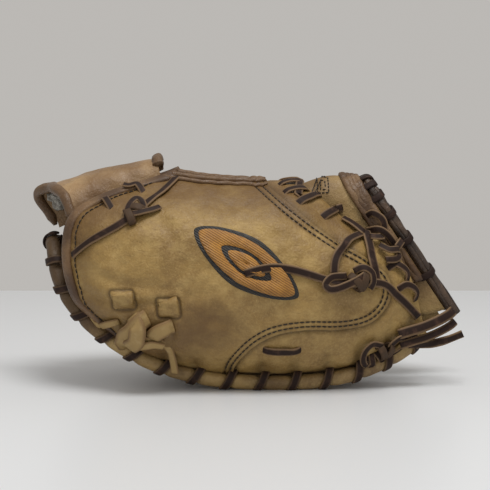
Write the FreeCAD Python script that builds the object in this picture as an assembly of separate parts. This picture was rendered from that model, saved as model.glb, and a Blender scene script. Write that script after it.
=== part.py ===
import FreeCAD, Part
import math
import os

# A left-hand catcher's mitt, folded shut and standing on its two long rims.
# Millimetres. +X runs from the heel to the web, -Y is the thumb side, +Z is up.
# The origin is on the floor, under the middle of the mitt.

Vector = FreeCAD.Vector

# ---- driving dimensions ---------------------------------------------------------------
length = 300.0              # heel rim to web corner
depth = 150.0               # side to side as drawn; the swell of the backs adds 16 to it
height = 160.0              # floor to crown

leather = 2.6               # back, palm and web hide
roll_radius = 5.5           # laced welt along every rim
web_roll_radius = 4.2       # rolled rim of the web
web_tie_radius = 1.8        # lace round the web's rim
web_strip_radius = 2.1      # rolled strips along the top of the web
binding_radius = 3.4        # folded binding along the wrist edges
lace_radius = 2.6           # rawhide lace
pad_thickness = 8.0         # felt behind the palm
center_pad_thickness = 5.0  # felt between the breaks
strap_leather = 3.0
strap_flare = 7.0           # how far the finger side of the wrist edge leans out
fleece_thickness = 6.0
lining_wall = 1.4
seam_lap = 9.0              # main panel over tip shell
seam_gap = 0.3              # between laid-up layers of one body
web_gap = 0.4               # between the two web panels' skins and their leather
rim_tuck = 1.0              # back panel's edge, out from the middle of the welt
back_swell = 30.0           # how far the backs bulge out of their edges
body_gap = 0.6              # between pieces that move apart
lace_pitch = 25.0           # spacing of the rim laces
emblem_thickness = 1.4
break_offset = 14.0         # thumb and finger breaks, each side of the fold line
thumb_length = 128.0        # stall mouth to stall tip
stall_half_width = 19.0
stall_half_thickness = 7.5

# The outlines are drawn on a block of this size and stretched to the three sizes above.
DRAWN = Vector(300.0, 150.0, 160.0)


def place(x, y, z):
    return Vector(x * length / DRAWN.x, y * depth / DRAWN.y, z * height / DRAWN.z)


def smooth_curve(points):
    """A smooth curve through hand-set points, as a function of 0..1 along its chords."""
    reach = [0.0]
    for start, end in zip(points, points[1:]):
        reach.append(reach[-1] + (end - start).Length)
    knots = [value / reach[-1] for value in reach]
    last = len(points) - 1
    slopes = []
    for index in range(last + 1):
        before, after = max(index - 1, 0), min(index + 1, last)
        slopes.append((points[after] - points[before]) * (1.0 / (knots[after] - knots[before])))

    def at(share):
        index = 0
        while index < last - 1 and share > knots[index + 1]:
            index += 1
        width = knots[index + 1] - knots[index]
        s = (share - knots[index]) / width
        return (points[index] * (2 * s ** 3 - 3 * s ** 2 + 1)
                + slopes[index] * (width * (s ** 3 - 2 * s ** 2 + s))
                + points[index + 1] * (3 * s ** 2 - 2 * s ** 3)
                + slopes[index + 1] * (width * (s ** 3 - s ** 2)))

    return at


# ---- outlines -------------------------------------------------------------------------

# Underside of the rim welt on the thumb side, from the thumb break round to the thumb tip.
rim_under = smooth_curve([
    place(-151, -14, 101), place(-147, -28, 84), place(-138, -38, 65), place(-123, -44, 47),
    place(-104, -46, 32), place(-74, -47, 15), place(-37, -47, 4), place(0, -47, 0),
    place(38, -47, 0), place(76, -44, 5), place(106, -38, 16), place(124, -33, 27),
    place(134, -30, 37)])


def rim_center(share):
    return rim_under(share) + Vector(0, 0, roll_radius)


def rim_top(share):
    return rim_under(share) + Vector(0, -rim_tuck, 2 * roll_radius + seam_gap)


PANEL_START = 0.325         # the back panel begins here along the rim
wrist_edge = smooth_curve([
    place(-57, -24, 162), place(-76, -29, 156), place(-97, -35, 150), place(-119, -41, 141),
    place(-133, -46, 130), place(-137.5, -50, 110), place(-135.5, -52, 86),
    place(-127, -51, 66), rim_top(PANEL_START)])
crown_edge = smooth_curve([
    place(-57, -24, 162), place(-37, -19, 158.5), place(-8, -12, 156.5), place(18, -9, 157),
    place(38, -9, 157)])
web_edge = smooth_curve([
    place(38, -9, 157), place(53, -20, 147), place(69, -29, 133), place(84, -34, 121),
    place(102, -36, 112), place(117, -36, 97), place(127, -34, 77), rim_top(1.0)])


def panel_rim(share):
    return rim_top(PANEL_START + (1.0 - PANEL_START) * share)


def back_skin(u, v):
    """Outer face of the thumb back: u from wrist edge to web edge, v from crown to rim."""
    rail = (crown_edge(u) * (1 - v) + panel_rim(u) * v + wrist_edge(v) * (1 - u)
            + web_edge(v) * u)
    corners = (crown_edge(0) * ((1 - u) * (1 - v)) + crown_edge(1) * (u * (1 - v))
               + panel_rim(0) * ((1 - u) * v) + panel_rim(1) * (u * v))
    along = 1 - (2 * u - 1) ** 4
    across = 1 - (2 * v - 1) ** 4
    shoulder = 0.3 * math.sin(math.pi * v) * (1 - v)
    swell = back_swell * depth / DRAWN.y * along * (across + shoulder)
    return rail - corners - Vector(0, swell, 0)


ARCH_FULLNESS = 0.28        # 0 is half an ellipse, more is squarer


def arch(thumb_foot, crown, finger_foot, v):
    """A point on an inverted U: v runs from the thumb foot over the crown to the other foot."""
    sine, cosine = math.sin(math.pi * v), abs(math.cos(math.pi * v))
    rise = sine * (1 + ARCH_FULLNESS * cosine ** 2)
    side = cosine * (1 + ARCH_FULLNESS * sine ** 2)
    foot = thumb_foot if v <= 0.5 else finger_foot
    return Vector(foot.x + (crown.x - foot.x) * rise, crown.y + (foot.y - crown.y) * side,
                  foot.z + (crown.z - foot.z) * rise)


def flip(point):
    return Vector(point.x, -point.y, point.z)


PALM_START = 0.30           # the palm begins and ends here along the rim
PALM_END = 0.955
palm_inset = roll_radius + seam_gap + leather
palm_crease = smooth_curve([
    place(-144, 0, 106), place(-110, 0, 112), place(-50, 0, 118), place(0, 0, 122),
    place(48, 0, 125)])


def pocket_skin(u, v):
    """Pocket face of the palm: u from heel to web, v from thumb rim to finger rim."""
    foot = rim_center(PALM_START + (PALM_END - PALM_START) * u) + Vector(0, palm_inset, 0)
    return arch(foot, palm_crease(u), flip(foot), v)


# The web's pocket panel stands inside the hides of the back and of the web.
pocket_inset = Vector(0, 4 * leather + seam_gap, 0)
web_foot = smooth_curve([place(124, -23.7, 36) + pocket_inset,
                         place(138, -25.7, 44) + pocket_inset,
                         place(151, -27.7, 54) + pocket_inset])
web_ridge = smooth_curve([place(50, 0, 126), place(70, 0, 140), place(84, 0, 150)])
# The web's outer panel stands inside the two hides of the back by its own thickness.
web_inset = Vector(0, 3 * leather + seam_gap, 0)
web_top_foot = smooth_curve([place(112, -25.6, 62) + web_inset,
                             place(134, -27.6, 54) + web_inset,
                             place(151, -29.1, 58) + web_inset])
web_top_ridge = smooth_curve([place(34, 0, 148), place(62, 0, 157), place(86, 0, 155)])


def web_pocket_skin(u, v):
    return arch(web_foot(u), web_ridge(u), flip(web_foot(u)), v)


def web_top_skin(u, v):
    return arch(web_top_foot(u), web_top_ridge(u), flip(web_top_foot(u)), v)


strap_thumb_end = smooth_curve([place(-129, -32, 122), place(-97, -24, 136),
                                place(-64, -14, 148)])
strap_crown = smooth_curve([place(-152, -1, 150), place(-112, 0, 163), place(-68, 0, 171)])
strap_finger_end = smooth_curve([place(-154, 33, 111), place(-115, 27, 129),
                                 place(-72, 16, 146)])


def strap_skin(u, v):
    """Inner face of the strap leather: u from wrist to crown, v from thumb to finger."""
    past_crown = max(0.0, 2 * v - 1)
    flare = strap_flare * (1 - u) ** 2 * math.sin(math.pi * past_crown) ** 2
    return (arch(strap_thumb_end(u), strap_crown(u), strap_finger_end(u), v)
            - Vector(flare, 0, 0))


# ---- solid makers ---------------------------------------------------------------------

def outward(skin, u, v):
    """The skin's unit normal, on the side away from the inside of the folded mitt."""
    step = 0.002
    here = skin(u, v)
    along = skin(min(1, u + step), v) - skin(max(0, u - step), v)
    across = skin(u, min(1, v + step)) - skin(u, max(0, v - step))
    normal = across.cross(along)
    normal.normalize()
    if normal.dot(here - Vector(here.x, 0, 0.45 * height)) < 0:
        normal = normal * -1
    return normal


def clamped_knots(count):
    """Even knots and their multiplicities for a cubic with this many poles."""
    knots = [float(index) for index in range(count - 2)]
    return knots, [4] + [1] * (len(knots) - 2) + [4]


def layer(skin, low, high, u_range=(0.0, 1.0), v_range=(0.0, 1.0), columns=21, rows=15):
    """The closed sheet between two offsets of a skin."""
    faces = []
    sides = []
    for offset in (low, high):
        grid = []
        for column in range(columns):
            u = u_range[0] + (u_range[1] - u_range[0]) * column / (columns - 1)
            line = []
            for row in range(rows):
                v = v_range[0] + (v_range[1] - v_range[0]) * row / (rows - 1)
                line.append(skin(u, v) + outward(skin, u, v) * offset)
            grid.append(line)
        knots_u, counts_u = clamped_knots(columns)
        knots_v, counts_v = clamped_knots(rows)
        side = Part.BSplineSurface()
        side.buildFromPolesMultsKnots(grid, counts_u, counts_v, knots_u, knots_v,
                                      False, False, 3, 3)
        sides.append(side)
        faces.append(side.toShape())
    inner, outer = sides
    u_low, u_high, v_low, v_high = inner.bounds()
    for u in (u_low, u_high):
        faces.append(Part.makeRuledSurface(inner.uIso(u).toShape(), outer.uIso(u).toShape()))
    for v in (v_low, v_high):
        faces.append(Part.makeRuledSurface(inner.vIso(v).toShape(), outer.vIso(v).toShape()))
    shell = Part.makeShell(faces)
    shell.sewShape()
    return upright(Part.makeSolid(shell))


def upright(solid):
    if solid.Volume < 0:
        solid.reverse()
    return solid


def tube(center, radius, stations=14, span=(0.0, 1.0)):
    """A round roll along a curve given as a function of 0..1."""
    rings = []
    for station in range(stations):
        share = span[0] + (span[1] - span[0]) * station / (stations - 1)
        heading = center(min(1, share + 0.01)) - center(max(0, share - 0.01))
        rings.append(Part.Wire(Part.makeCircle(radius, center(share), heading)))
    return upright(Part.makeLoft(rings, True))


def bar(start, end, radius):
    """A straight length of lace with rounded ends."""
    along = end - start
    body = Part.makeCylinder(radius, along.Length, start, along)
    return body.fuse([Part.makeSphere(radius, start), Part.makeSphere(radius, end)])


def knot(start, end, radius):
    """A tied lump: narrow at both ends and full in the middle."""
    heading = end - start
    rings = []
    for share, swell in ((0.0, 0.45), (0.25, 0.9), (0.5, 1.0), (0.75, 0.9), (1.0, 0.45)):
        rings.append(Part.Wire(Part.makeCircle(radius * swell, start + heading * share, heading)))
    return upright(Part.makeLoft(rings, True))


def lace_tube(name, points, radius):
    """Straight runs joined by tangent arcs, as large as the runs allow."""
    edges = []
    here = points[0]
    path_length = 0.0
    for before, corner, after in zip(points, points[1:], points[2:]):
        back = before - corner
        ahead = after - corner
        shorter = min(back.Length, ahead.Length)
        turn = math.pi - back.getAngle(ahead)
        trim = 0.45 * shorter
        bend_radius = trim / math.tan(turn / 2)
        back.normalize()
        ahead.normalize()
        entry = corner + back * trim
        leave = corner + ahead * trim
        middle = back + ahead
        middle.normalize()
        reach = bend_radius / math.cos(turn / 2) - bend_radius
        edges.append(Part.LineSegment(here, entry).toShape())
        edges.append(Part.Arc(entry, corner + middle * reach, leave).toShape())
        print(f"{name}: bend radius {bend_radius:.0f} mm, turn {math.degrees(turn):.0f} degrees")
        path_length += (entry - here).Length + bend_radius * turn
        here = leave
    edges.append(Part.LineSegment(here, points[-1]).toShape())
    path_length += (points[-1] - here).Length
    path = Part.Wire(edges)
    section = Part.Wire(Part.makeCircle(radius, points[0], points[1] - points[0]))
    solid = upright(path.makePipeShell([section], True, False))
    expected = math.pi * radius ** 2 * path_length
    print(f"{name}: length {path_length:.0f} mm, volume {solid.Volume:.0f} of {expected:.0f} mm3")
    return solid


CUT_NEAR, CUT_FAR = -400.0, -1.0    # the cutting prisms run from here to here along Y


def prism(outline):
    """Everything behind a closed outline of (x, z) points, from the thumb side."""
    curve = Part.BSplineCurve()
    curve.interpolate([Vector(p.x, CUT_NEAR, p.z) for p in outline], PeriodicFlag=True)
    face = Part.Face(Part.Wire(curve.toShape()))
    return face.extrude(Vector(0, CUT_FAR - CUT_NEAR, 0))


def polygon_prism(corners):
    points = [Vector(p.x, CUT_NEAR, p.z) for p in corners]
    face = Part.Face(Part.makePolygon(points + points[:1]))
    return face.extrude(Vector(0, CUT_FAR - CUT_NEAR, 0))


def on_back(x, z, lift):
    """The point on the thumb back seen at (x, z) from the thumb side, raised by lift."""
    goal = place(x, 0, z)
    u, v = 0.5, 0.5
    for _ in range(25):
        step = 0.001
        here = back_skin(u, v)
        along = (back_skin(min(u + step, 1), v) - here) * (1 / step)
        across = (back_skin(u, min(v + step, 1)) - here) * (1 / step)
        miss_x, miss_z = goal.x - here.x, goal.z - here.z
        scale = along.x * across.z - along.z * across.x
        u += (miss_x * across.z - miss_z * across.x) / scale
        v += (along.x * miss_z - along.z * miss_x) / scale
        u = min(max(u, 0.01), 0.99)
        v = min(max(v, 0.01), 0.99)
    return back_skin(u, v) + outward(back_skin, u, v) * lift


def half_space(y_low, y_high):
    reach = 3 * length
    return Part.makeBox(2 * reach, y_high - y_low, 2 * reach, Vector(-reach, y_low, -reach))


def cylinder_sheet(start, end, mouth, tip, wall):
    """An open sleeve with a closed tip; mouth and tip are (half width, half thickness)."""
    heading = end - start
    wide = Vector(heading.z, 0, -heading.x)
    thin = heading.cross(wide)

    def ring(share, shrink):
        half_width = mouth[0] + (tip[0] - mouth[0]) * share - shrink
        half_thin = mouth[1] + (tip[1] - mouth[1]) * share - shrink
        oval = Part.Ellipse(Vector(0, 0, 0), half_width, half_thin).toShape()
        turn = FreeCAD.Matrix(
            *frame_row(wide, thin, heading, start + heading * share, 0),
            *frame_row(wide, thin, heading, start + heading * share, 1),
            *frame_row(wide, thin, heading, start + heading * share, 2), 0, 0, 0, 1)
        return Part.Wire(oval.transformGeometry(turn))

    outer = Part.makeLoft([ring(0, 0), ring(0.5, 0), ring(1, 0)], True)
    inner = Part.makeLoft([ring(-0.05, wall), ring(0.5, wall), ring(0.97, wall)], True)
    return upright(outer.cut(inner))


def frame_row(wide, thin, heading, center, axis):
    units = []
    for direction in (wide, thin, heading):
        unit = Vector(direction)
        unit.normalize()
        units.append(unit[axis])
    return units + [center[axis]]


nodes = {}

# ---- thumb side -----------------------------------------------------------------------

# The double-stitched seam: inside it is the main panel, outside it is the tip shell.
panel_outline = [place(x, 0, z) for x, z in (
    (4, 161), (35, 136), (66, 114), (88, 101), (103, 89), (107, 77), (103, 63), (92, 53),
    (72, 48.5), (42, 49), (20, 46), (4, 37), (-10, 20), (-20, -8),
    (-90, -10), (-170, 60), (-165, 160), (-60, 200))]
lap_outline = []
middle = place(-30, 0, 85)
for point in panel_outline:
    away = point - middle
    lap_outline.append(middle + away * (1 - seam_lap / away.Length))

back = layer(back_skin, -leather, 0.0)
under = layer(back_skin, -2 * leather - seam_gap, -leather - seam_gap)
nodes["thumb_main_panel"] = back.common(prism(panel_outline))
nodes["thumb_tip_shell"] = under.cut(prism(lap_outline))
nodes["thumb_wrist_binding"] = tube(wrist_edge, binding_radius, span=(0.0, 0.97))

thumb_slab = half_space(-2 * depth, -break_offset - body_gap)
nodes["palm_thumb_section"] = layer(pocket_skin, 0.0, leather, rows=23).common(thumb_slab)
pad_skin_low = leather + seam_gap
nodes["thumb_pad"] = layer(pocket_skin, pad_skin_low, pad_skin_low + pad_thickness,
                           (0.12, 0.86), (0.07, 0.34)).common(thumb_slab)
stall_mouth = place(-66, -47, 121)
stall_run = place(60, -63, 68) - stall_mouth
stall_run.normalize()
nodes["thumb_stall_lining"] = cylinder_sheet(
    stall_mouth, stall_mouth + stall_run * thumb_length,
    (stall_half_width, stall_half_thickness), (stall_half_width - 6, stall_half_thickness - 2),
    lining_wall)
nodes["thumb_rim_roll"] = tube(rim_center, roll_radius, stations=18).common(thumb_slab)


def rim_wraps(start, end, count):
    """Slanted turns of lace round the rim welt."""
    turns = []
    for index in range(count):
        share = start + (end - start) * index / (count - 1)
        heading = rim_center(share + 0.01) - rim_center(share - 0.01)
        heading.normalize()
        lean = heading + Vector(0, 0, 0.25)
        center = rim_center(share) + Vector(0, 0, 2 * lace_radius)
        turns.append(Part.makeTorus(roll_radius + lace_radius, lace_radius, center, lean))
    return turns


rim_length = 0.0
for step_index in range(100):
    rim_length += (rim_under((step_index + 1) / 100) - rim_under(step_index / 100)).Length
wrap_count = int(0.93 * rim_length / lace_pitch) + 1
nodes["thumb_rim_laces"] = Part.makeCompound(rim_wraps(0.045, 0.965, wrap_count))
nodes["thumb_rim_stitch"] = bar(on_back(10, 33, lace_radius), on_back(38, 33, lace_radius),
                                lace_radius)

emblem_center = place(-2, 0, 99)
emblem_slant = math.radians(-33)
emblem_points = []
for ahead, aside in ((42, 0), (20, 11), (0, 15), (-20, 11), (-42, 0), (-20, -11), (0, -15),
                     (20, -11)):
    emblem_points.append(emblem_center + Vector(
        ahead * math.cos(emblem_slant) - aside * math.sin(emblem_slant), 0,
        ahead * math.sin(emblem_slant) + aside * math.cos(emblem_slant)))
raised = layer(back_skin, 0.1, 0.1 + emblem_thickness, (0.1, 0.9), (0.1, 0.9))
nodes["emblem_patch"] = raised.common(prism(emblem_points))

loop_stitches = []
for left, right, low, high in ((-100, -81, 64, 79), (-67, -49, 58, 74)):
    corners = [place(left, 0, low + 1), place(right, 0, low), place(right, 0, high),
               place(left, 0, high + 1)]
    loop_stitches.append(raised.common(polygon_prism(corners)))
nodes["thumb_loop_stitches"] = Part.makeCompound(loop_stitches)
nodes["thumb_loop_knot"] = knot(on_back(-92, 52, 4.5), on_back(-74, 50, 4.5), 6.0)
nodes["thumb_loop_bight"] = knot(on_back(-72, 53, 3.2), on_back(-56, 52, 3.2), 4.4)

# Laces from the thumb side over the web seam.
web_laces = []
for start, end in (((22, 154.5), (44, 158)), ((25, 149), (46, 152)),
                   ((36, 140.5), (56, 145.5)), ((54, 129.5), (74, 136))):
    head = on_back(start[0], start[1], lace_radius)
    web_laces.append(bar(head, place(end[0], -16 - 0.12 * (end[0] - 46), end[1])
                         + Vector(0, -3.4, 3.4), lace_radius))
nodes["web_thumb_laces"] = Part.makeCompound(web_laces)
nodes["tip_cross_lace"] = lace_tube("tip_cross_lace", [
    on_back(81, 140, 3.2), on_back(86.5, 121, 4.5), on_back(90, 103, 4.2),
    on_back(93, 86, 3.4)], lace_radius)

# Free laces. Each is a list of (x, z, lift off the back) seen from the thumb side.
wrist_lace_points = [on_back(x, z, lift) for x, z, lift in (
    (-55, 159, 3.0), (-63, 150, 3.4), (-73, 143.5, 3.2), (-81, 136.5, 3.4), (-89, 130, 3.6),
    (-98, 124.5, 3.2), (-109, 119, 3.0), (-120, 112, 3.4), (-130, 103, 3.6))]
tip_lace_points = [on_back(x, z, lift) for x, z, lift in (
    (-3, 91.5, 3.2), (11, 95.5, 3.6), (26, 95.5, 3.2), (41, 91.5, 3.2), (56, 86, 4.2),
    (70, 83, 6.0), (84, 83.5, 7.5), (98, 80.5, 7.0), (109, 73, 4.6), (119, 63, 3.8),
    (128, 54, 3.6))]
tip_loop_points = [on_back(x, z, lift) for x, z, lift in (
    (84, 116, 4.0), (75, 113.5, 5.5), (67, 108, 6.0), (61.5, 100, 6.0), (62, 91, 5.0))]
tip_tail_points = [place(x, y, z) for x, y, z in (
    (122, -42, 33), (133, -38, 32.5), (144, -36, 34), (154, -35.5, 37), (163, -36, 41))]
loop_tail_points = [on_back(-80, 46, 8.0), on_back(-69, 45, 6.5),
                    place(-60.5, -66, 37), place(-56.5, -63, 26), place(-55.5, -60, 14.5)]
nodes["wrist_lace"] = lace_tube("wrist_lace", wrist_lace_points, lace_radius)
nodes["wrist_lace_knot"] = knot(on_back(-78, 140, 3.6), on_back(-93, 125, 3.8), 6.5)
nodes["tip_lace"] = lace_tube("tip_lace", tip_lace_points, lace_radius)
nodes["tip_lace_knot"] = knot(on_back(58, 86, 5.5), on_back(89, 82, 7.0), 7.5)
nodes["tip_loop_lace"] = lace_tube("tip_loop_lace", tip_loop_points, lace_radius)
nodes["tip_lace_tail"] = lace_tube("tip_lace_tail", tip_tail_points, lace_radius)
nodes["thumb_loop_tail"] = lace_tube("thumb_loop_tail", loop_tail_points, lace_radius)
nodes["rim_knot"] = knot(on_back(88, 30, 4.0), on_back(113, 30, 4.0), 6.5)
nodes["tip_wrap_lace"] = lace_tube("tip_wrap_lace", [
    place(116, -45, 43), place(129, -41, 46), place(143, -37, 51), place(154, -34, 55)],
    lace_radius)

# ---- finger side: the mirror of the thumb side, without the thumb's trim -----------------

def mirrored(shape):
    return shape.mirror(Vector(0, 0, 0), Vector(0, 1, 0))


for thumb_node, finger_node in (
        ("thumb_main_panel", "finger_main_panel"), ("thumb_tip_shell", "finger_tip_shell"),
        ("thumb_wrist_binding", "finger_wrist_binding"),
        ("palm_thumb_section", "palm_finger_section"), ("thumb_pad", "finger_pad"),
        ("thumb_stall_lining", "finger_stall_lining"), ("thumb_rim_roll", "finger_rim_roll"),
        ("thumb_rim_laces", "finger_rim_laces"), ("web_thumb_laces", "web_finger_laces")):
    nodes[finger_node] = mirrored(nodes[thumb_node])

# ---- centre: the palm between the breaks, the heel and the web ----------------------------

inner_slab = half_space(-break_offset, break_offset)
nodes["palm_center_section"] = layer(pocket_skin, 0.0, leather, rows=23).common(inner_slab)
center_pad_top = pad_skin_low + center_pad_thickness
nodes["palm_center_pad"] = layer(pocket_skin, pad_skin_low, center_pad_top,
                                 (0.05, 0.8), (0.3, 0.7)).common(inner_slab)
nodes["hand_lining"] = layer(pocket_skin, center_pad_top + seam_gap,
                             center_pad_top + seam_gap + lining_wall,
                             (0.03, 0.85), (0.3, 0.7)).common(inner_slab)
heel_line = smooth_curve([
    rim_center(0.02), rim_center(0.0), place(-153, 0, 103.5) + Vector(0, 0, roll_radius),
    flip(rim_center(0.0)), flip(rim_center(0.02))])
nodes["heel_roll"] = tube(heel_line, roll_radius, stations=9).common(inner_slab)
heel_turns = []
for share in (0.3, 0.7):
    heading = heel_line(share + 0.05) - heel_line(share - 0.05)
    heel_turns.append(Part.makeTorus(roll_radius + lace_radius, lace_radius,
                                     heel_line(share) + Vector(1.5, 0, 1.5), heading))
nodes["heel_laces"] = Part.makeCompound(heel_turns)

nodes["web_pocket_panel"] = layer(web_pocket_skin, 0.0, leather, (0.0, 0.9))
nodes["web_outer_panel"] = layer(web_top_skin, web_gap, web_gap + leather, (0.0, 0.94))


def web_rim(share):
    foot = web_top_foot(1.0) + Vector(web_roll_radius + 0.6, 0, 1.0)
    ridge = web_top_ridge(1.0) + Vector(web_roll_radius + 0.6, 0, 1.0)
    return arch(foot, ridge, flip(foot), share)


nodes["web_rim_roll"] = tube(web_rim, web_roll_radius, stations=19, span=(0.0, 1.0))
strips = []
for row in range(3):
    def strip_line(share, row=row):
        u = 0.9 - 0.13 * row
        v = 0.26 + 0.48 * share
        lift = web_gap + leather + web_strip_radius + seam_gap
        return web_top_skin(u, v) + outward(web_top_skin, u, v) * lift
    strips.append(tube(strip_line, web_strip_radius, stations=9))
nodes["web_rim_strips"] = Part.makeCompound(strips)
rim_turns = []
for index in range(12):
    share = 0.09 + 0.82 * index / 11
    heading = web_rim(share + 0.02) - web_rim(share - 0.02)
    rim_turns.append(Part.makeTorus(web_roll_radius + web_tie_radius, web_tie_radius,
                                    web_rim(share) + Vector(-1.2, 0, -0.8), heading))
nodes["web_rim_laces"] = Part.makeCompound(rim_turns)

# ---- wrist strap ----------------------------------------------------------------------

nodes["wrist_strap"] = layer(strap_skin, 0.0, strap_leather, (0.03, 0.97), (0.0, 0.97))
nodes["strap_fleece"] = layer(strap_skin, -fleece_thickness - seam_gap, -seam_gap,
                              (0.05, 0.93), (0.24, 0.82))


BOUND_START, BOUND_END = 0.25, 0.81     # the bound stretch of the strap's edges


def strap_edge(u, lift):
    def line(share):
        v = BOUND_START + (BOUND_END - BOUND_START) * share
        return strap_skin(u, v) + outward(strap_skin, u, v) * lift
    return line


nodes["strap_wrist_binding"] = tube(strap_edge(0.0, 0.0), binding_radius, stations=11)
nodes["strap_crown_binding"] = tube(strap_edge(0.97, 2.0), binding_radius, stations=11)

strap_tie_heads = ((-110, 144), (-90, 151))
ties = []
for x, z in strap_tie_heads:
    ties.append(bar(on_back(x + 3, z - 9, lace_radius + 0.6),
                    on_back(x + 1, z - 1.5, 0) + Vector(-3, -2.5, 6.0), lace_radius))
nodes["strap_thumb_laces"] = Part.makeCompound(ties)
nodes["strap_finger_laces"] = mirrored(nodes["strap_thumb_laces"])

# ---- export ---------------------------------------------------------------------------

os.makedirs("parts", exist_ok=True)
for name, shape in nodes.items():
    shape.exportStep(f"parts/{name}.step")
    solids = len(shape.Solids)
    print(f"{name}: {solids} solids, {shape.Volume / 1000:.1f} cm3, valid {shape.isValid()}")
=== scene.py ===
import math

import bpy
import numpy as np
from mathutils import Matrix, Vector
from mathutils.bvhtree import BVHTree


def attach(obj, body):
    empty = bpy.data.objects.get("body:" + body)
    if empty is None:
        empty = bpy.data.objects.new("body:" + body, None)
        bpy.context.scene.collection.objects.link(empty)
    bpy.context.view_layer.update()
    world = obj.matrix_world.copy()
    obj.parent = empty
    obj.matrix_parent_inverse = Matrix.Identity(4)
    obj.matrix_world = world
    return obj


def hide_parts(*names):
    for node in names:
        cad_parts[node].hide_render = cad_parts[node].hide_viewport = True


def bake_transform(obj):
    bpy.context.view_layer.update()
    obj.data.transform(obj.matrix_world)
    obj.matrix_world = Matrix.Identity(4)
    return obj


# A left-hand catcher's mitt, folded shut and standing on its rims.
# Shapes are worked out in millimetres and written to the meshes in metres.

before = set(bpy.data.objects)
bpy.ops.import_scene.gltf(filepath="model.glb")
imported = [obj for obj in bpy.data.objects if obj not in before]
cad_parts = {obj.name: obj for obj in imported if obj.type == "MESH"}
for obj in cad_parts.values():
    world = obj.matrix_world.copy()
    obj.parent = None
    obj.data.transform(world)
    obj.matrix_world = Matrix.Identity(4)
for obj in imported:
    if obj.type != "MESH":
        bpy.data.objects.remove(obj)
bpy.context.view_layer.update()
MM = 0.001

# ---- the maker's sizes, millimetres ---------------------------------------------------
LEATHER = 2.4               # back, palm and web hide
ROLL_RADIUS = 5.5           # laced welt along the rims
LACE_HALF_WIDTH = 2.9       # flat rawhide lace
LACE_HALF_THICK = 0.85
BINDING_HALF_WIDTH = 4.3
WEB_ROLL_RADIUS = 4.2
WEB_ROLL_STRANDS = 5
STITCH_LENGTH = 3.7
STITCH_PITCH = 4.2
STITCH_RADIUS = 0.52
BACK_SWELL = 30.0           # how far the back stands out of its outline
BACK_LENGTH = 260           # along the back and from crown to rim, for widths of wear
BACK_HEIGHT = 170
SEAM_ROWS = (2.6, 6.2)      # the two rows of stitches inside the main panel's edge
TIP_LAP = 8.0               # how far the tip shell runs under the main panel
ROUTE_LIFT = 1.4            # a free lace lies this much closer than its route's lift says
CORD_HALF_WIDTH = 3.3
CORD_HALF_THICK = 0.9
PALE_EDGE = 0.78            # share of a lace's half width where its cut edge begins
LOOK = "look_"              # starts each piece's name, to tell it from the part's nodes


# ---- curves and skins, the same outlines as the part ------------------------------------

def curve(points):
    """A smooth curve through given points, as a function of 0..1 along its chords."""
    points = np.array(points, float)
    reach = np.concatenate([[0], np.cumsum(np.linalg.norm(np.diff(points, axis=0), axis=1))])
    knots = reach / reach[-1]
    last = len(points) - 1
    before = np.maximum(np.arange(last + 1) - 1, 0)
    after = np.minimum(np.arange(last + 1) + 1, last)
    slopes = (points[after] - points[before]) / (knots[after] - knots[before])[:, None]

    def at(share):
        share = np.asarray(share, float)
        index = np.clip(np.searchsorted(knots, share, side="left") - 1, 0, last - 1)
        width = knots[index + 1] - knots[index]
        s = ((share - knots[index]) / width)[..., None]
        width = width[..., None]
        return (points[index] * (2 * s ** 3 - 3 * s ** 2 + 1)
                + slopes[index] * (width * (s ** 3 - 2 * s ** 2 + s))
                + points[index + 1] * (3 * s ** 2 - 2 * s ** 3)
                + slopes[index + 1] * (width * (s ** 3 - s ** 2)))

    return at


rim_under = curve([
    (-151, -14, 101), (-147, -28, 84), (-138, -38, 65), (-123, -44, 47), (-104, -46, 32),
    (-74, -47, 15), (-37, -47, 4), (0, -47, 0), (38, -47, 0), (76, -44, 5), (106, -38, 16),
    (124, -33, 27), (134, -30, 37)])


def rim_center(share):
    """The middle of the welt, above the line that it stands on."""
    return rim_under(share) + np.array([0, 0, ROLL_RADIUS])


def rim_top(share):
    """Where the back panel meets the welt."""
    return rim_under(share) + np.array([0, -1.0, 2 * ROLL_RADIUS + 0.3])


PANEL_START = 0.325
wrist_edge = curve([
    (-57, -24, 162), (-76, -29, 156), (-97, -35, 150), (-119, -41, 141), (-133, -46, 130),
    (-137.5, -50, 110), (-135.5, -52, 86), (-127, -51, 66), tuple(rim_top(PANEL_START))])
crown_edge = curve([
    (-57, -24, 162), (-37, -19, 158.5), (-8, -12, 156.5), (18, -9, 157), (38, -9, 157)])
web_edge = curve([
    (38, -9, 157), (53, -20, 147), (69, -29, 133), (84, -34, 121), (102, -36, 112),
    (117, -36, 97), (127, -34, 77), tuple(rim_top(1.0))])


def panel_rim(share):
    return rim_top(PANEL_START + (1 - PANEL_START) * np.asarray(share))


def back_skin(u, v):
    """Outer face of the thumb back: u from wrist edge to web edge, v from crown to rim."""
    a, b = u[..., None], v[..., None]
    rail = (crown_edge(u) * (1 - b) + panel_rim(u) * b + wrist_edge(v) * (1 - a)
            + web_edge(v) * a)
    corners = (crown_edge(0.0) * ((1 - a) * (1 - b)) + crown_edge(1.0) * (a * (1 - b))
               + panel_rim(0.0) * ((1 - a) * b) + panel_rim(1.0) * (a * b))
    swell = (1 - (2 * u - 1) ** 4) * ((1 - (2 * v - 1) ** 4)
                                      + 0.3 * np.sin(math.pi * v) * (1 - v))
    skin = rail - corners
    skin[..., 1] -= BACK_SWELL * swell
    return skin


ARCH_FULLNESS = 0.28


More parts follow.
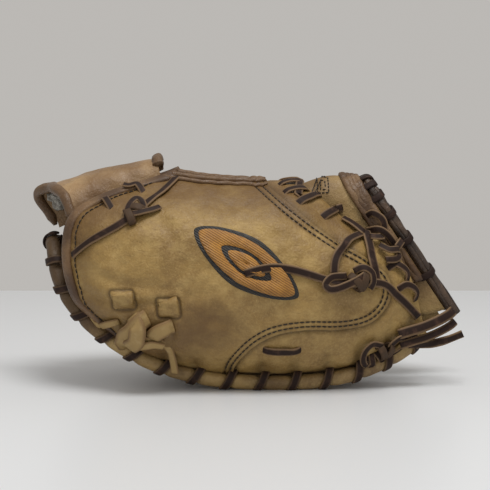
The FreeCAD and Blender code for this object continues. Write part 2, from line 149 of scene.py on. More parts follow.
def arch(thumb_foot, crown, finger_foot, v):
    """A folded sheet over a crown line: v is 0 at the thumb foot and 1 at the finger foot."""
    sine, cosine = np.sin(math.pi * v), np.abs(np.cos(math.pi * v))
    rise = (sine * (1 + ARCH_FULLNESS * cosine ** 2))[..., None]
    side = cosine * (1 + ARCH_FULLNESS * sine ** 2)
    foot = np.where((v <= 0.5)[..., None], thumb_foot, finger_foot)
    point = foot + (crown - foot) * rise
    point[..., 1] = crown[..., 1] + (foot[..., 1] - crown[..., 1]) * side
    return point


FLIP = np.array([1.0, -1.0, 1.0])
palm_crease = curve([(-144, 0, 106), (-110, 0, 112), (-50, 0, 118), (0, 0, 122), (48, 0, 125)])
web_foot = curve([(124, -13, 36), (138, -15, 44), (151, -17, 54)])
web_ridge = curve([(50, 0, 126), (70, 0, 140), (84, 0, 150)])
web_top_foot = curve([(112, -17.5, 62), (134, -19.5, 54), (151, -21, 58)])
web_top_ridge = curve([(34, 0, 148), (62, 0, 157), (86, 0, 155)])
strap_thumb_end = curve([(-129, -32, 122), (-97, -24, 136), (-64, -14, 148)])
strap_crown = curve([(-152, -1, 150), (-112, 0, 163), (-68, 0, 171)])
strap_finger_end = curve([(-154, 33, 111), (-115, 27, 129), (-72, 16, 146)])


def pocket_skin(u, v):
    """The palm: u from heel to web, v over the crease."""
    foot = rim_center(0.30 + 0.655 * u) + np.array([0, ROLL_RADIUS + 0.3 + LEATHER, 0])
    return arch(foot, palm_crease(u), foot * FLIP, v)


def web_pocket_skin(u, v):
    return arch(web_foot(u), web_ridge(u), web_foot(u) * FLIP, v)


def web_top_skin(u, v):
    return arch(web_top_foot(u), web_top_ridge(u), web_top_foot(u) * FLIP, v)


STRAP_FLARE = 15.0          # the finger side of the wrist edge leans out, the thumb side in
STRAP_DRAW = 7.0
STRAP_THICKNESS = 3.0


def strap_skin(u, v):
    """The wrist strap: u from its wrist edge to its crown edge, v from thumb to finger."""
    past_crown = np.maximum(0.0, 2 * v - 1)
    flare = STRAP_FLARE * (1 - u) ** 2 * np.sin(math.pi * past_crown) ** 2
    skin = arch(strap_thumb_end(u), strap_crown(u), strap_finger_end(u), v)
    near_side = np.clip(2 * v, 0, 1)
    draw = STRAP_DRAW * (1 - u) ** 2 * np.sin(math.pi * near_side) ** 2
    skin[..., 0] += draw - flare
    return skin


# ---- mesh makers ----------------------------------------------------------------------

def unit(vectors):
    return vectors / np.maximum(np.linalg.norm(vectors, axis=-1, keepdims=True), 1e-9)


def normals_of(grid):
    """Unit normals of a grid of points, on the side away from the folded mitt's inside."""
    along = np.gradient(grid, axis=0)
    across = np.gradient(grid, axis=1)
    normals = unit(np.cross(across, along))
    core = np.stack([grid[..., 0], 0 * grid[..., 1], 0 * grid[..., 2] + 72], axis=-1)
    inward = np.sum(normals * (grid - core), axis=-1).mean() < 0
    return -normals if inward else normals


def grid_on(skin, columns, rows, u_range=(0.0, 1.0), v_range=(0.0, 1.0)):
    """A grid of points on a skin, its normals and the u and v of each point."""
    u = np.linspace(*u_range, columns)[:, None] + np.zeros((1, rows))
    v = np.linspace(*v_range, rows)[None, :] + np.zeros((columns, 1))
    points = skin(u, v)
    return points, normals_of(points), u, v


class Mesh:
    """Gathers points and faces, in millimetres, and marks by point, for one piece."""

    def __init__(self):
        self.points = []
        self.faces = []
        self.marks = {}

    def add(self, points, faces, **marks):
        base = len(self.points)
        self.points.extend(np.asarray(points, float).reshape(-1, 3).tolist())
        self.faces.extend([tuple(base + i for i in face) for face in faces])
        for name in marks:
            self.marks.setdefault(name, {})[base] = np.asarray(marks[name], float).ravel()

    def mirror(self):
        other = Mesh()
        other.points = [[x, -y, z] for x, y, z in self.points]
        other.faces = [tuple(reversed(face)) for face in self.faces]
        other.marks = self.marks
        return other

    def piece(self, name, finish, body, node=(), ride=True):
        """The object made of it, with its finish, its body and the nodes that it replaces."""
        data = bpy.data.meshes.new(LOOK + name)
        data.from_pydata([[c * MM for c in point] for point in self.points], [], self.faces)
        data.validate()
        data.polygons.foreach_set("use_smooth", [True] * len(data.polygons))
        spot = data.attributes.new("spot", "FLOAT_VECTOR", "POINT")
        spot.data.foreach_set("vector", np.array(self.points, np.float32).ravel())
        for mark, runs in self.marks.items():
            values = np.zeros(len(self.points), np.float32)
            for base, run in runs.items():
                values[base:base + len(run)] = run
            data.attributes.new(mark, "FLOAT", "POINT").data.foreach_set("value", values)
        piece = bpy.data.objects.new(LOOK + name, data)
        bpy.context.scene.collection.objects.link(piece)
        data.materials.append(finish.material)
        if node:
            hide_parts(*((node,) if isinstance(node, str) else node))
        if ride:
            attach(piece, body)
        return piece


def add_sheet(mesh, outer, inner, keep=None, **marks):
    """A sheet with thickness between two grids, cut where keep goes above zero."""
    columns, rows = outer.shape[:2]
    if keep is None:
        keep = np.full((columns, rows), -1.0)
    points, index_of, extra = [], {}, {name: [] for name in marks}

    def corner(i, j):
        key = (i, j)
        if key not in index_of:
            index_of[key] = len(points)
            points.append((outer[i, j], inner[i, j]))
            for name in marks:
                extra[name].append(marks[name][i, j])
        return index_of[key]

    def crossing(a, b):
        key = (min(a, b), max(a, b))
        if key not in index_of:
            share = keep[a] / (keep[a] - keep[b])
            index_of[key] = len(points)
            points.append((outer[a] + (outer[b] - outer[a]) * share,
                           inner[a] + (inner[b] - inner[a]) * share))
            for name in marks:
                extra[name].append(marks[name][a] + (marks[name][b] - marks[name][a]) * share)
        return index_of[key]

    polygons = []
    for i in range(columns - 1):
        for j in range(rows - 1):
            ring = [(i, j), (i + 1, j), (i + 1, j + 1), (i, j + 1)]
            inside = [keep[c] <= 0 for c in ring]
            if all(inside):
                polygons.append([corner(*c) for c in ring])
            elif any(inside):
                polygon = []
                for k in range(4):
                    a, b = ring[k], ring[(k + 1) % 4]
                    if inside[k]:
                        polygon.append(corner(*a))
                    if inside[k] != inside[(k + 1) % 4]:
                        polygon.append(crossing(a, b))
                polygons.append(polygon)
    count = len(points)
    edges = {}
    for polygon in polygons:
        for a, b in zip(polygon, polygon[1:] + polygon[:1]):
            edges[(a, b)] = True
    faces = [tuple(reversed(p)) for p in polygons]
    faces += [tuple(count + i for i in p) for p in polygons]
    faces += [(a, b, count + b, count + a) for (a, b) in edges if (b, a) not in edges]
    places = [p[0] for p in points] + [p[1] for p in points]
    mesh.add(places, faces, **{name: extra[name] + extra[name] for name in marks})


SECTION_SIDES = 10


def oval_section(half_width, half_thick, sides=SECTION_SIDES, squareness=0.55):
    """A rounded section; squareness 1 is an ellipse and smaller is squarer."""
    angles = np.arange(sides) * 2 * math.pi / sides
    cosine, sine = np.cos(angles), np.sin(angles)
    return np.stack([half_width * np.sign(cosine) * np.abs(cosine) ** squareness,
                     half_thick * np.sign(sine) * np.abs(sine) ** squareness], axis=1)


def add_sweep(mesh, centers, across, section, closed=False, swell=None, **marks):
    """Sweeps a section of (across, up) points along a line of centres."""
    centers = np.asarray(centers, float)
    heading = unit(np.gradient(centers, axis=0))
    if closed:
        heading = unit(np.roll(centers, -1, axis=0) - np.roll(centers, 1, axis=0))
    across = unit(across - heading * np.sum(across * heading, axis=1, keepdims=True))
    up = np.cross(heading, across)
    swell = np.ones(len(centers)) if swell is None else swell
    rings = (centers[:, None, :]
             + across[:, None, :] * (section[None, :, :1] * swell[:, None, None])
             + up[:, None, :] * (section[None, :, 1:] * swell[:, None, None]))
    count, sides = len(centers), len(section)
    faces = []
    for i in range(count if closed else count - 1):
        for j in range(sides):
            a, b = i * sides + j, i * sides + (j + 1) % sides
            following = ((i + 1) % count) * sides
            faces.append((a, b, following + (j + 1) % sides, following + j))
    if not closed:
        faces.append(tuple(reversed(range(sides))))
        faces.append(tuple((count - 1) * sides + j for j in range(sides)))
    mesh.add(rings, faces, **{name: np.repeat(values, sides) for name, values in marks.items()})


def side_vectors(centers, normals):
    """Directions across a line that lies on a surface with these normals."""
    heading = unit(np.gradient(np.asarray(centers, float), axis=0))
    return unit(np.cross(normals, heading))


# ---- finishes -------------------------------------------------------------------------

class Shade:
    """A socket that can be used in sums; each sum adds its Math node."""

    def __init__(self, finish, socket):
        self.finish = finish
        self.socket = socket

    def _sum(self, operation, first, second):
        node = self.finish.node("ShaderNodeMath", {"operation": operation}, {0: first, 1: second})
        return Shade(self.finish, node.outputs[0])

    def __add__(self, other):
        return self._sum("ADD", self, other)

    def __radd__(self, other):
        return self._sum("ADD", other, self)

    def __sub__(self, other):
        return self._sum("SUBTRACT", self, other)

    def __rsub__(self, other):
        return self._sum("SUBTRACT", other, self)

    def __mul__(self, other):
        return self._sum("MULTIPLY", self, other)

    def __rmul__(self, other):
        return self._sum("MULTIPLY", other, self)

    def ease(self, low, high):
        """0 below low, 1 above high and smooth between."""
        node = self.finish.node("ShaderNodeMapRange", {"interpolation_type": "SMOOTHSTEP"},
                                {"Value": self, "From Min": low, "From Max": high})
        return Shade(self.finish, node.outputs["Result"])


class Finish:
    """One procedural material and the record's slot that it belongs to."""

    def __init__(self, name, slot, on_cad=False):
        self.slot = slot
        self.material = bpy.data.materials.new(name)
        self.material.use_nodes = True
        self.tree = self.material.node_tree
        self.tree.nodes.clear()
        output = self.tree.nodes.new("ShaderNodeOutputMaterial")
        self.shader = self.tree.nodes.new("ShaderNodeBsdfPrincipled")
        self.tree.links.new(self.shader.outputs[0], output.inputs["Surface"])
        if on_cad:
            place = self.node("ShaderNodeTexCoord").outputs["Object"]
            scaled = self.node("ShaderNodeVectorMath", {"operation": "SCALE"},
                               {0: place, "Scale": 1 / MM})
            self.spot = Shade(self, scaled.outputs[0])
        else:
            self.spot = Shade(self, self.node("ShaderNodeAttribute", {"attribute_name": "spot"})
                              .outputs["Vector"])

    def node(self, kind, settings=None, inputs=None):
        """A node of this type, its settings first and then its values or links."""
        node = self.tree.nodes.new(kind)
        for key, value in (settings or {}).items():
            setattr(node, key, value)
        for key, value in (inputs or {}).items():
            if isinstance(value, Shade):
                value = value.socket
            if isinstance(value, bpy.types.NodeSocket):
                self.tree.links.new(value, node.inputs[key])
            elif isinstance(value, tuple) and len(value) == 3 and node.inputs[key].type == "RGBA":
                node.inputs[key].default_value = (*value, 1)
            else:
                node.inputs[key].default_value = value
        return node

    def mark(self, name):
        """The wear that the mesh carries under this name."""
        return Shade(self, self.node("ShaderNodeAttribute", {"attribute_name": name})
                     .outputs["Fac"])

    def noise(self, size, detail=3.0, roughness=0.55, stretch=None, distortion=0.0):
        """Noise whose features are about size millimetres across."""
        place = self.spot
        if stretch:
            place = Shade(self, self.node("ShaderNodeVectorMath", {"operation": "MULTIPLY"},
                                          {0: place, 1: stretch}).outputs[0])
        node = self.node("ShaderNodeTexNoise", {}, {
            "Vector": place, "Scale": 1.0 / size, "Detail": detail, "Roughness": roughness,
            "Distortion": distortion})
        return Shade(self, node.outputs["Fac"])

    def cells(self, size, feature="F1"):
        node = self.node("ShaderNodeTexVoronoi", {"feature": feature}, {
            "Vector": self.spot, "Scale": 1.0 / size})
        return Shade(self, node.outputs["Distance"])

    def mix(self, factor, first, second):
        node = self.node("ShaderNodeMix", {"data_type": "RGBA"},
                         {0: factor, 6: first, 7: second})
        return Shade(self, node.outputs[2])

    def surface(self, color, roughness, height=None, strength=1.0, lift=1.0, **fixed):
        """Joins colour, roughness and height to the shader; fixed names its other sockets."""
        for key, value in (("Base Color", color), ("Roughness", roughness)):
            if isinstance(value, Shade):
                self.tree.links.new(value.socket, self.shader.inputs[key])
            elif isinstance(value, tuple):
                self.shader.inputs[key].default_value = (*value, 1)
            else:
                self.shader.inputs[key].default_value = value
        if height is not None:
            bump = self.node("ShaderNodeBump", {}, {
                "Strength": strength, "Distance": lift * MM, "Height": height})
            self.tree.links.new(bump.outputs[0], self.shader.inputs["Normal"])
        for key, value in fixed.items():
            self.shader.inputs[key.replace("_", " ")].default_value = value


def worn_leather(name, slot, base, dark, pale, on_cad=False, gloss=0.50):
    """Oiled cowhide: blotched colour, pebble grain, fine creases, stains, and painted shade where the
    edge mark darkens it.
    """
    f = Finish(name, slot, on_cad)
    blotch = f.noise(42, 4, 0.6).ease(0.38, 0.66)
    cloud = f.noise(13, 4, 0.65).ease(0.42, 0.70)
    rub = f.noise(4.5, 4, 0.7, stretch=(0.45, 1.0, 1.0)).ease(0.40, 0.72)
    speck = f.noise(1.6, 3, 0.7).ease(0.45, 0.75)
    color = f.mix(blotch * 0.50, base, dark)
    color = f.mix(cloud * 0.38, color, pale)
    color = f.mix(rub * 0.22, color, dark)
    color = f.mix(speck * 0.30, color, pale)
    if not on_cad:
        stain = f.mark("stain") * (0.55 + 0.9 * f.noise(9, 4, 0.65))
        color = f.mix(stain.ease(0.05, 1.05) * 0.90, color, dark)
        # Painted shade: the edge mark darkens the colour in seams and grooves and beside laces; on
        # the web roll it darkens bands along the strands.
        color = f.mix(f.mark("edge") * 0.85, color, tuple(c * 0.28 for c in dark))
    pebble = f.cells(2.1)
    wrinkle = f.noise(5.5, 5, 0.72, distortion=0.9)
    crease = f.cells(11.0, "DISTANCE_TO_EDGE").ease(0.0, 0.05)
    height = pebble * 0.22 + wrinkle * 0.9 + crease * 0.10
    f.surface(color, gloss + 0.18 * cloud - 0.05 * speck, height, 0.8, 1.0,
              Specular_IOR_Level=0.42)
    return f


def rawhide(name, slot, face, raw_edge, scuff):
    """Flat lace: dyed face, paler cut edges, scuffs and a fibrous surface."""
    f = Finish(name, slot)
    fibre = f.noise(1.1, 3, 0.7)
    patch = f.noise(7, 3, 0.6).ease(0.52, 0.72)
    color = f.mix(patch * 0.55, face, scuff)
    color = f.mix(f.mark("cut") * (0.45 + 0.6 * fibre), color, raw_edge)
    height = fibre * 0.5 + f.noise(4.0, 2) * 0.6
    f.surface(color, 0.55 + 0.2 * fibre, height, 0.6, 0.45, Specular_IOR_Level=0.24)
    return f


tan_hide = worn_leather("tan_hide", "panel_leather", (0.325, 0.203, 0.060),
                        (0.125, 0.064, 0.018), (0.52, 0.365, 0.145))
palm_hide = worn_leather("palm_hide", "palm_leather", (0.25, 0.155, 0.065),
                         (0.10, 0.056, 0.024), (0.36, 0.25, 0.12))
web_hide = worn_leather("web_hide", "web_leather", (0.36, 0.238, 0.090),
                        (0.155, 0.088, 0.031), (0.51, 0.375, 0.175))
strap_hide = worn_leather("strap_hide", "strap_leather", (0.31, 0.190, 0.088),
                          (0.150, 0.080, 0.033), (0.44, 0.31, 0.165), gloss=0.44)
welt_hide = worn_leather("welt_hide", "welt_leather", (0.35, 0.228, 0.083),
                         (0.080, 0.042, 0.018), (0.50, 0.365, 0.165))
binding_hide = worn_leather("binding_hide", "binding_leather", (0.170, 0.094, 0.041),
                            (0.065, 0.032, 0.014), (0.28, 0.18, 0.09), gloss=0.42)
web_rim_hide = worn_leather("web_rim_hide", "web_rim_leather", (0.085, 0.050, 0.030),
                            (0.030, 0.018, 0.012), (0.16, 0.105, 0.066), gloss=0.40)
lining_hide = worn_leather("lining_hide", "lining_leather", (0.22, 0.14, 0.07),
                           (0.10, 0.06, 0.03), (0.30, 0.21, 0.12), on_cad=True)
dark_lace = rawhide("dark_lace", "dark_rawhide", (0.018, 0.0075, 0.0045), (0.24, 0.150, 0.078),
                    (0.070, 0.034, 0.021))
tan_lace = rawhide("tan_lace", "tan_rawhide", (0.335, 0.225, 0.092), (0.16, 0.09, 0.04),
                   (0.45, 0.33, 0.165))


def thread_finish(name, slot, color):
    """Waxed sewing thread."""
    f = Finish(name, slot)
    strand = f.noise(0.8, 2)
    f.surface(f.mix(strand * 0.5, color, tuple(c * 0.5 for c in color)), 0.7, strand, 0.5, 0.2)
    return f


seam_thread = thread_finish("seam_thread", "panel_leather", (0.014, 0.008, 0.005))


def fleece_finish():
    """Old grey-white wool, matted into clumps with dirt between the tufts."""
    f = Finish("matted_fleece", "fleece")
    clump = f.noise(5.5, 4, 0.65)
    tuft = f.noise(1.3, 4, 0.8)
    color = f.mix(clump.ease(0.35, 0.7), (0.24, 0.215, 0.175), (0.60, 0.57, 0.50))
    color = f.mix(tuft.ease(0.35, 0.8) * 0.5, color, (0.13, 0.11, 0.09))
    f.surface(color, 0.95, clump * 1.2 + tuft, 1.0, 1.4, Sheen_Weight=0.3)
    return f


fleece = fleece_finish()


def felt_finish():
    """The pressed felt inside the mitt, on the part's own solids."""
    f = Finish("pressed_felt", "felt", True)
    fibre = f.noise(1.0, 4, 0.75)
    f.surface(f.mix(fibre, (0.42, 0.38, 0.31), (0.62, 0.58, 0.50)), 0.95, fibre, 0.8, 0.6)
    return f


felt = felt_finish()


def satin_thread(name, light, deep_and_shaded):
    """Rows of satin stitch: fine slanted ridges with a silky shine, and a painted highlight on each
    ridge's crest.
    """
    f = Finish(name, "gold_embroidery")
    slant = f.node("ShaderNodeVectorMath", {"operation": "DOT_PRODUCT"},
                   {0: f.spot, 1: (0.62, 0.0, 1.0)}).outputs["Value"]
    ridge = f.node("ShaderNodeMath", {"operation": "SINE"},
                   {0: Shade(f, slant) * 3.4}).outputs[0]
    strand = Shade(f, ridge) * 0.5 + 0.5
    fuzz = f.noise(1.4, 3, 0.7)
    wear = f.noise(9, 3, 0.6).ease(0.35, 0.7)
    # Painted highlight: strand lightens the colour on each ridge's crest, where the bump is highest;
    # fuzz and wear vary the tone at random.
    color = f.mix(strand * 0.45 + 0.25 * fuzz + 0.3 * wear, deep_and_shaded, light)
    f.surface(color, 0.42 + 0.2 * fuzz, strand + 0.5 * fuzz, 0.9, 0.5, Sheen_Weight=0.15)
    return f


gold_satin = satin_thread("gold_satin", (0.54, 0.255, 0.034), (0.17, 0.064, 0.009))
black_satin = satin_thread("black_satin", (0.012, 0.010, 0.008), (0.004, 0.003, 0.0025))

# ---- thumb back -------------------------------------------------------------------------

seam_line = curve([(x, 0, z) for x, z in (
    (4, 161), (35, 136), (66, 114), (88, 101), (103, 89), (107, 77), (103, 63), (92, 53),
    (72, 48.5), (42, 49), (20, 46), (4, 37), (-10, 20), (-20, -8),
    (-90, -10), (-170, 60), (-165, 160), (-60, 200), (4, 161))])


def outline_distance(outline, x, z):
    """Signed distance to a closed (x, z) outline, below zero inside it."""
    start, end = outline, np.roll(outline, -1, axis=0)
    flat = np.stack([x.ravel(), z.ravel()], axis=1)
    best = np.full(len(flat), 1e9)
    inside = np.zeros(len(flat), bool)
    for a, b in zip(start, end):
        edge = b - a
        away = flat - a
        share = np.clip(away @ edge / max(edge @ edge, 1e-9), 0, 1)
        best = np.minimum(best, np.linalg.norm(away - share[:, None] * edge, axis=1))
        crosses = (a[1] > flat[:, 1]) != (b[1] > flat[:, 1])
        with np.errstate(divide="ignore", invalid="ignore"):
            at_x = a[0] + (flat[:, 1] - a[1]) * edge[0] / (edge[1] if edge[1] else 1e-9)
        inside ^= crosses & (flat[:, 0] < at_x)
    return np.where(inside, -best, best).reshape(x.shape)


def ease(value, low, high):
    """0 below low, 1 above high and smooth between."""
    share = np.clip((value - low) / (high - low), 0, 1)
    return share * share * (3 - 2 * share)


def ripple(points, size, seed):
    """A smooth random field made of a few sine waves with about this wavelength."""
    random = np.random.default_rng(seed)
    total = np.zeros(points.shape[:-1])
    for _ in range(9):
        direction = unit(random.normal(size=3))
        wave = 2 * math.pi / (size * random.uniform(0.7, 1.5))
        total += np.sin(points @ direction * wave + random.uniform(0, 6.28))
    return total / 3.0


def line_distance(x, z, line):
    """Distance to an (x, z) line, and how far along it the nearest point is, 0..1."""
    best = np.full(x.shape, 1e9)
    share_at = np.zeros(x.shape)
    count = len(line) - 1
    for index, (a, b) in enumerate(zip(line, line[1:])):
        edge = np.subtract(b, a)
        share = np.clip(((x - a[0]) * edge[0] + (z - a[1]) * edge[1]) / (edge @ edge), 0, 1)
        gap = np.hypot(x - a[0] - share * edge[0], z - a[1] - share * edge[1])
        share_at = np.where(gap < best, (index + share) / count, share_at)
        best = np.minimum(best, gap)
    return best, share_at


# Creases of the worn back: their line, depth and width.
CREASES = (
    (((-128, 78), (-108, 72), (-88, 68), (-70, 70), (-52, 64)), 1.6, 3.5),
    (((-112, 92), (-98, 84), (-82, 82), (-62, 80)), 1.2, 4.0),
    (((-100, 62), (-92, 50), (-86, 36)), 1.6, 3.0),
    (((-60, 62), (-56, 46), (-60, 30)), 1.4, 3.2),
    (((-70, 135), (-58, 120), (-52, 104)), 1.3, 5.0),
    (((-96, 128), (-100, 108), (-96, 90)), 1.1, 6.0),
    (((22, 138), (34, 126), (52, 120)), 1.0, 4.0),
    (((58, 128), (70, 112), (74, 96)), 1.2, 4.0),
    (((-30, 60), (-12, 52), (0, 40)), 1.1, 5.0),
    (((-36, 140), (-10, 142), (16, 138)), 0.9, 6.0),
    (((64, 70), (84, 62), (98, 60)), 1.0, 4.0),
)

# Stains: x, z, radius, strength.
STAINS = (
    (-120, 140, 24, 0.9), (-90, 146, 22, 0.7), (-126, 100, 16, 0.45), (-118, 62, 20, 0.75),
    (-86, 44, 22, 0.55), (-50, 38, 26, 0.55), (-18, 52, 22, 0.6), (-40, 66, 18, 0.4),
    (-30, 150, 22, 0.8), (6, 152, 20, 0.85), (36, 146, 18, 0.75), (60, 130, 16, 0.6),
    (-60, 156, 18, 0.7), (26, 116, 14, 0.35), (60, 100, 14, 0.4), (-76, 20, 16, 0.4),
    (76, 120, 14, 0.5), (110, 100, 12, 0.4), (104, 34, 16, 0.3), (-132, 120, 14, 0.5),
)

BACK_COLUMNS, BACK_ROWS = 300, 210
back, back_normal, back_u, back_v = grid_on(back_skin, BACK_COLUMNS, BACK_ROWS)
back_x, back_z = back[..., 0], back[..., 2]
seam_outline = seam_line(np.linspace(0, 1, 240, endpoint=False))[:, [0, 2]]
seam_gap = outline_distance(seam_outline, back_x, back_z)

rim_length = float(np.sum(np.linalg.norm(np.diff(rim_under(np.linspace(0, 1, 101)), axis=0),
                                         axis=1)))
WRAP_COUNT = int(0.93 * rim_length / 25.0) + 1
wrap_shares = np.linspace(0.045, 0.965, WRAP_COUNT)
wrap_x = rim_center(wrap_shares)[:, 0]

relief = 0.9 * ripple(back, 60, 3) + 0.35 * ripple(back, 22, 5) + 0.14 * ripple(back, 9, 8)
for line, crease_depth, crease_width in CREASES:
    gap, share = line_distance(back_x, back_z, line)
    fade = np.sin(math.pi * np.clip(share, 0.02, 0.98)) ** 0.5
    relief -= crease_depth * fade * np.exp(-(gap / crease_width) ** 2)
    relief += 0.6 * crease_depth * fade * np.exp(-((gap - 2.2 * crease_width)
                                                   / (1.3 * crease_width)) ** 2)
# The welt's laces pinch the panel's lower edge.
near_rim = ease(back_v, 0.86, 1.0)
pinch = np.zeros(back_x.shape)
for x in wrap_x:
    pinch += np.exp(-((back_x - x) / 4.5) ** 2)
relief += near_rim * (1.0 - 2.2 * pinch)
boundary = np.minimum(np.minimum(back_u, 1 - back_u) * BACK_LENGTH,
                      np.minimum(back_v, 1 - back_v) * BACK_HEIGHT)
relief *= ease(boundary, 0.0, 7.0)
stitch_sink = sum(np.exp(-(seam_gap + row) ** 2) for row in SEAM_ROWS)
stain = sum(strength * np.exp(-((back_x - x) ** 2 + (back_z - z) ** 2) / radius ** 2)
            for x, z, radius, strength in STAINS)
stain = np.clip(stain, 0, 1)
# Painted shade: the colour is darkened in the main panel edge's shadow on the tip shell, in the
# stitch grooves, where the panel meets the welt and at the lace pinches.
painted_groove_shade = 0.85 * np.exp(-np.abs(seam_gap - 1.0) / 1.6)
painted_groove_shade += 0.55 * sum(np.exp(-((seam_gap + row) / 0.8) ** 2) for row in SEAM_ROWS)
painted_groove_shade += 0.9 * np.exp(-(1 - back_v) * BACK_HEIGHT / 1.3) + 0.5 * near_rim * pinch


def frame_gap(x, z, left, low, wide, tall, corner=3.0):
    """Distance to the outline of a round-cornered rectangle."""
    past_x = np.abs(x - left - wide / 2) - wide / 2 + corner
    past_z = np.abs(z - low - tall / 2) - tall / 2 + corner
    outside = np.hypot(np.maximum(past_x, 0), np.maximum(past_z, 0))
    return outside + np.minimum(np.maximum(past_x, past_z), 0) - corner


# The two square lace stitches that hold the thumb loop: left, low, width and height.
LOOP_STITCHES = ((-100.5, 64.5, 18.0, 15.0), (-67.0, 58.5, 17.5, 15.5))
patch_lift = np.zeros(back_x.shape)
for left, low, wide, tall in LOOP_STITCHES:
    gap = frame_gap(back_x + 0.12 * (back_z - low), back_z, left, low, wide, tall)
    # Painted shade in the groove round each lace stitch.
    painted_groove_shade += 0.8 * np.exp(-(gap / 0.75) ** 2)
    patch_lift -= 1.3 * np.exp(-(gap / 1.1) ** 2)
    patch_lift += 1.3 * ease(-gap, 0.6, 3.0)
painted_groove_shade = np.clip(painted_groove_shade, 0, 1)

panel_outer = back + back_normal * (relief - 0.75 * stitch_sink + patch_lift + 0.5)[..., None]
panel_inner = panel_outer - back_normal * LEATHER
lap = -2.7 + 1.5 * ease(seam_gap, 0.5, 5.0)
shell_outer = back + back_normal * (relief + lap)[..., None]
shell_inner = shell_outer - back_normal * LEATHER

main_panel = Mesh()
add_sheet(main_panel, panel_outer, panel_inner, seam_gap,
          stain=stain, edge=painted_groove_shade)
tip_shell = Mesh()
add_sheet(tip_shell, shell_outer, shell_inner, -seam_gap - TIP_LAP, stain=stain,
          edge=painted_groove_shade)


def both_sides(mesh, name, finish, thumb_node=(), finger_node=()):
    """The thumb piece and its mirror on the finger side."""
    mesh.piece("thumb_" + name, finish, "thumb_side", thumb_node)
    mesh.mirror().piece("finger_" + name, finish, "finger_side", finger_node)


both_sides(main_panel, "main_panel", tan_hide, "thumb_main_panel", "finger_main_panel")
both_sides(tip_shell, "tip_shell", tan_hide, "thumb_tip_shell", "finger_tip_shell")


def tree_of(*meshes):
    """A search tree over the faces of several gathered meshes, in millimetres."""
    points, faces = [], []
    for mesh in meshes:
        faces += [tuple(i + len(points) for i in face) for face in mesh.faces]
        points += [Vector(p) for p in mesh.points]
    return BVHTree.FromPolygons(points, faces)


front_tree = tree_of(main_panel, tip_shell)


def on_back(x, z, lift=0.0, tree=None):
    """The point on the thumb side seen at (x, z) from that side, and its normal."""
    tree = tree or front_tree
    place, normal, _, _ = tree.ray_cast(Vector((x, -200, z)), Vector((0, 1, 0)))
    if place is None:
        place, normal, _, _ = tree.find_nearest(Vector((x, -40, z)))
    if normal.y > 0:
        normal = -normal
    return np.array(place + normal * lift), np.array(normal)


def trace_on_back(points, count, tree=None):
    """Points along a smooth (x, z, lift) line laid on the thumb back, and their normals."""
    track = curve(points)(np.linspace(0, 1, count))
    hits = [on_back(x, z, 0.0, tree) for x, z, _ in track]
    normals = np.array([normal for _, normal in hits])
    for _ in range(3):
        normals[1:-1] = (normals[:-2] + normals[1:-1] + normals[2:]) / 3
    normals = unit(normals)
    return np.array([place for place, _ in hits]) + normals * track[:, 2:], normals


# ---- stitching ----------------------------------------------------------------------------

def add_stitches(mesh, line, normals, pitch=STITCH_PITCH, length=STITCH_LENGTH,
                 radius=STITCH_RADIUS):
    """Short rounded threads laid end to end along a line."""
    steps = np.linalg.norm(np.diff(line, axis=0), axis=1)
    reach = np.concatenate([[0], np.cumsum(steps)])
    for start in np.arange(0, reach[-1] - length, pitch):
        at = start + np.linspace(0, length, 5)
        centers = np.stack([np.interp(at, reach, line[:, k]) for k in range(3)], axis=1)
        normal = np.stack([np.interp(at, reach, normals[:, k]) for k in range(3)], axis=1)
        hump = np.array([-0.35, 0.25, 0.4, 0.25, -0.35])[:, None]
        taper = np.array([0.5, 0.95, 1.0, 0.95, 0.5])
        add_sweep(mesh, centers + normal * hump, side_vectors(centers, normal),
                  oval_section(radius, radius * 0.8, 6, 1.0), swell=taper)


rim_line = rim_under(np.linspace(0, 1, 300))


def seam_track(inset):
    """The seam line moved into the main panel, where it lies on the back."""
    share = np.linspace(0.0, 1.0, 2400)
    line = seam_line(share)[:, [0, 2]]
    heading = unit(np.gradient(line, axis=0))
    line = line + inset * np.stack([heading[:, 1], -heading[:, 0]], axis=1)
    keep = (line[:, 1] < 156.5) & (share < 0.60)
    low = np.interp(line[:, 0], rim_line[:, 0], rim_line[:, 2]) + 2 * ROLL_RADIUS + 2
    keep &= line[:, 1] > low
    return line[keep]


seam_stitches = Mesh()
for inset in SEAM_ROWS:
    hits = [on_back(x, z) for x, z in seam_track(inset)[::6]]
    add_stitches(seam_stitches, np.array([h[0] for h in hits]), np.array([h[1] for h in hits]))
both_sides(seam_stitches, "seam_stitches", seam_thread)

# ---- wrist binding --------------------------------------------------------------------------

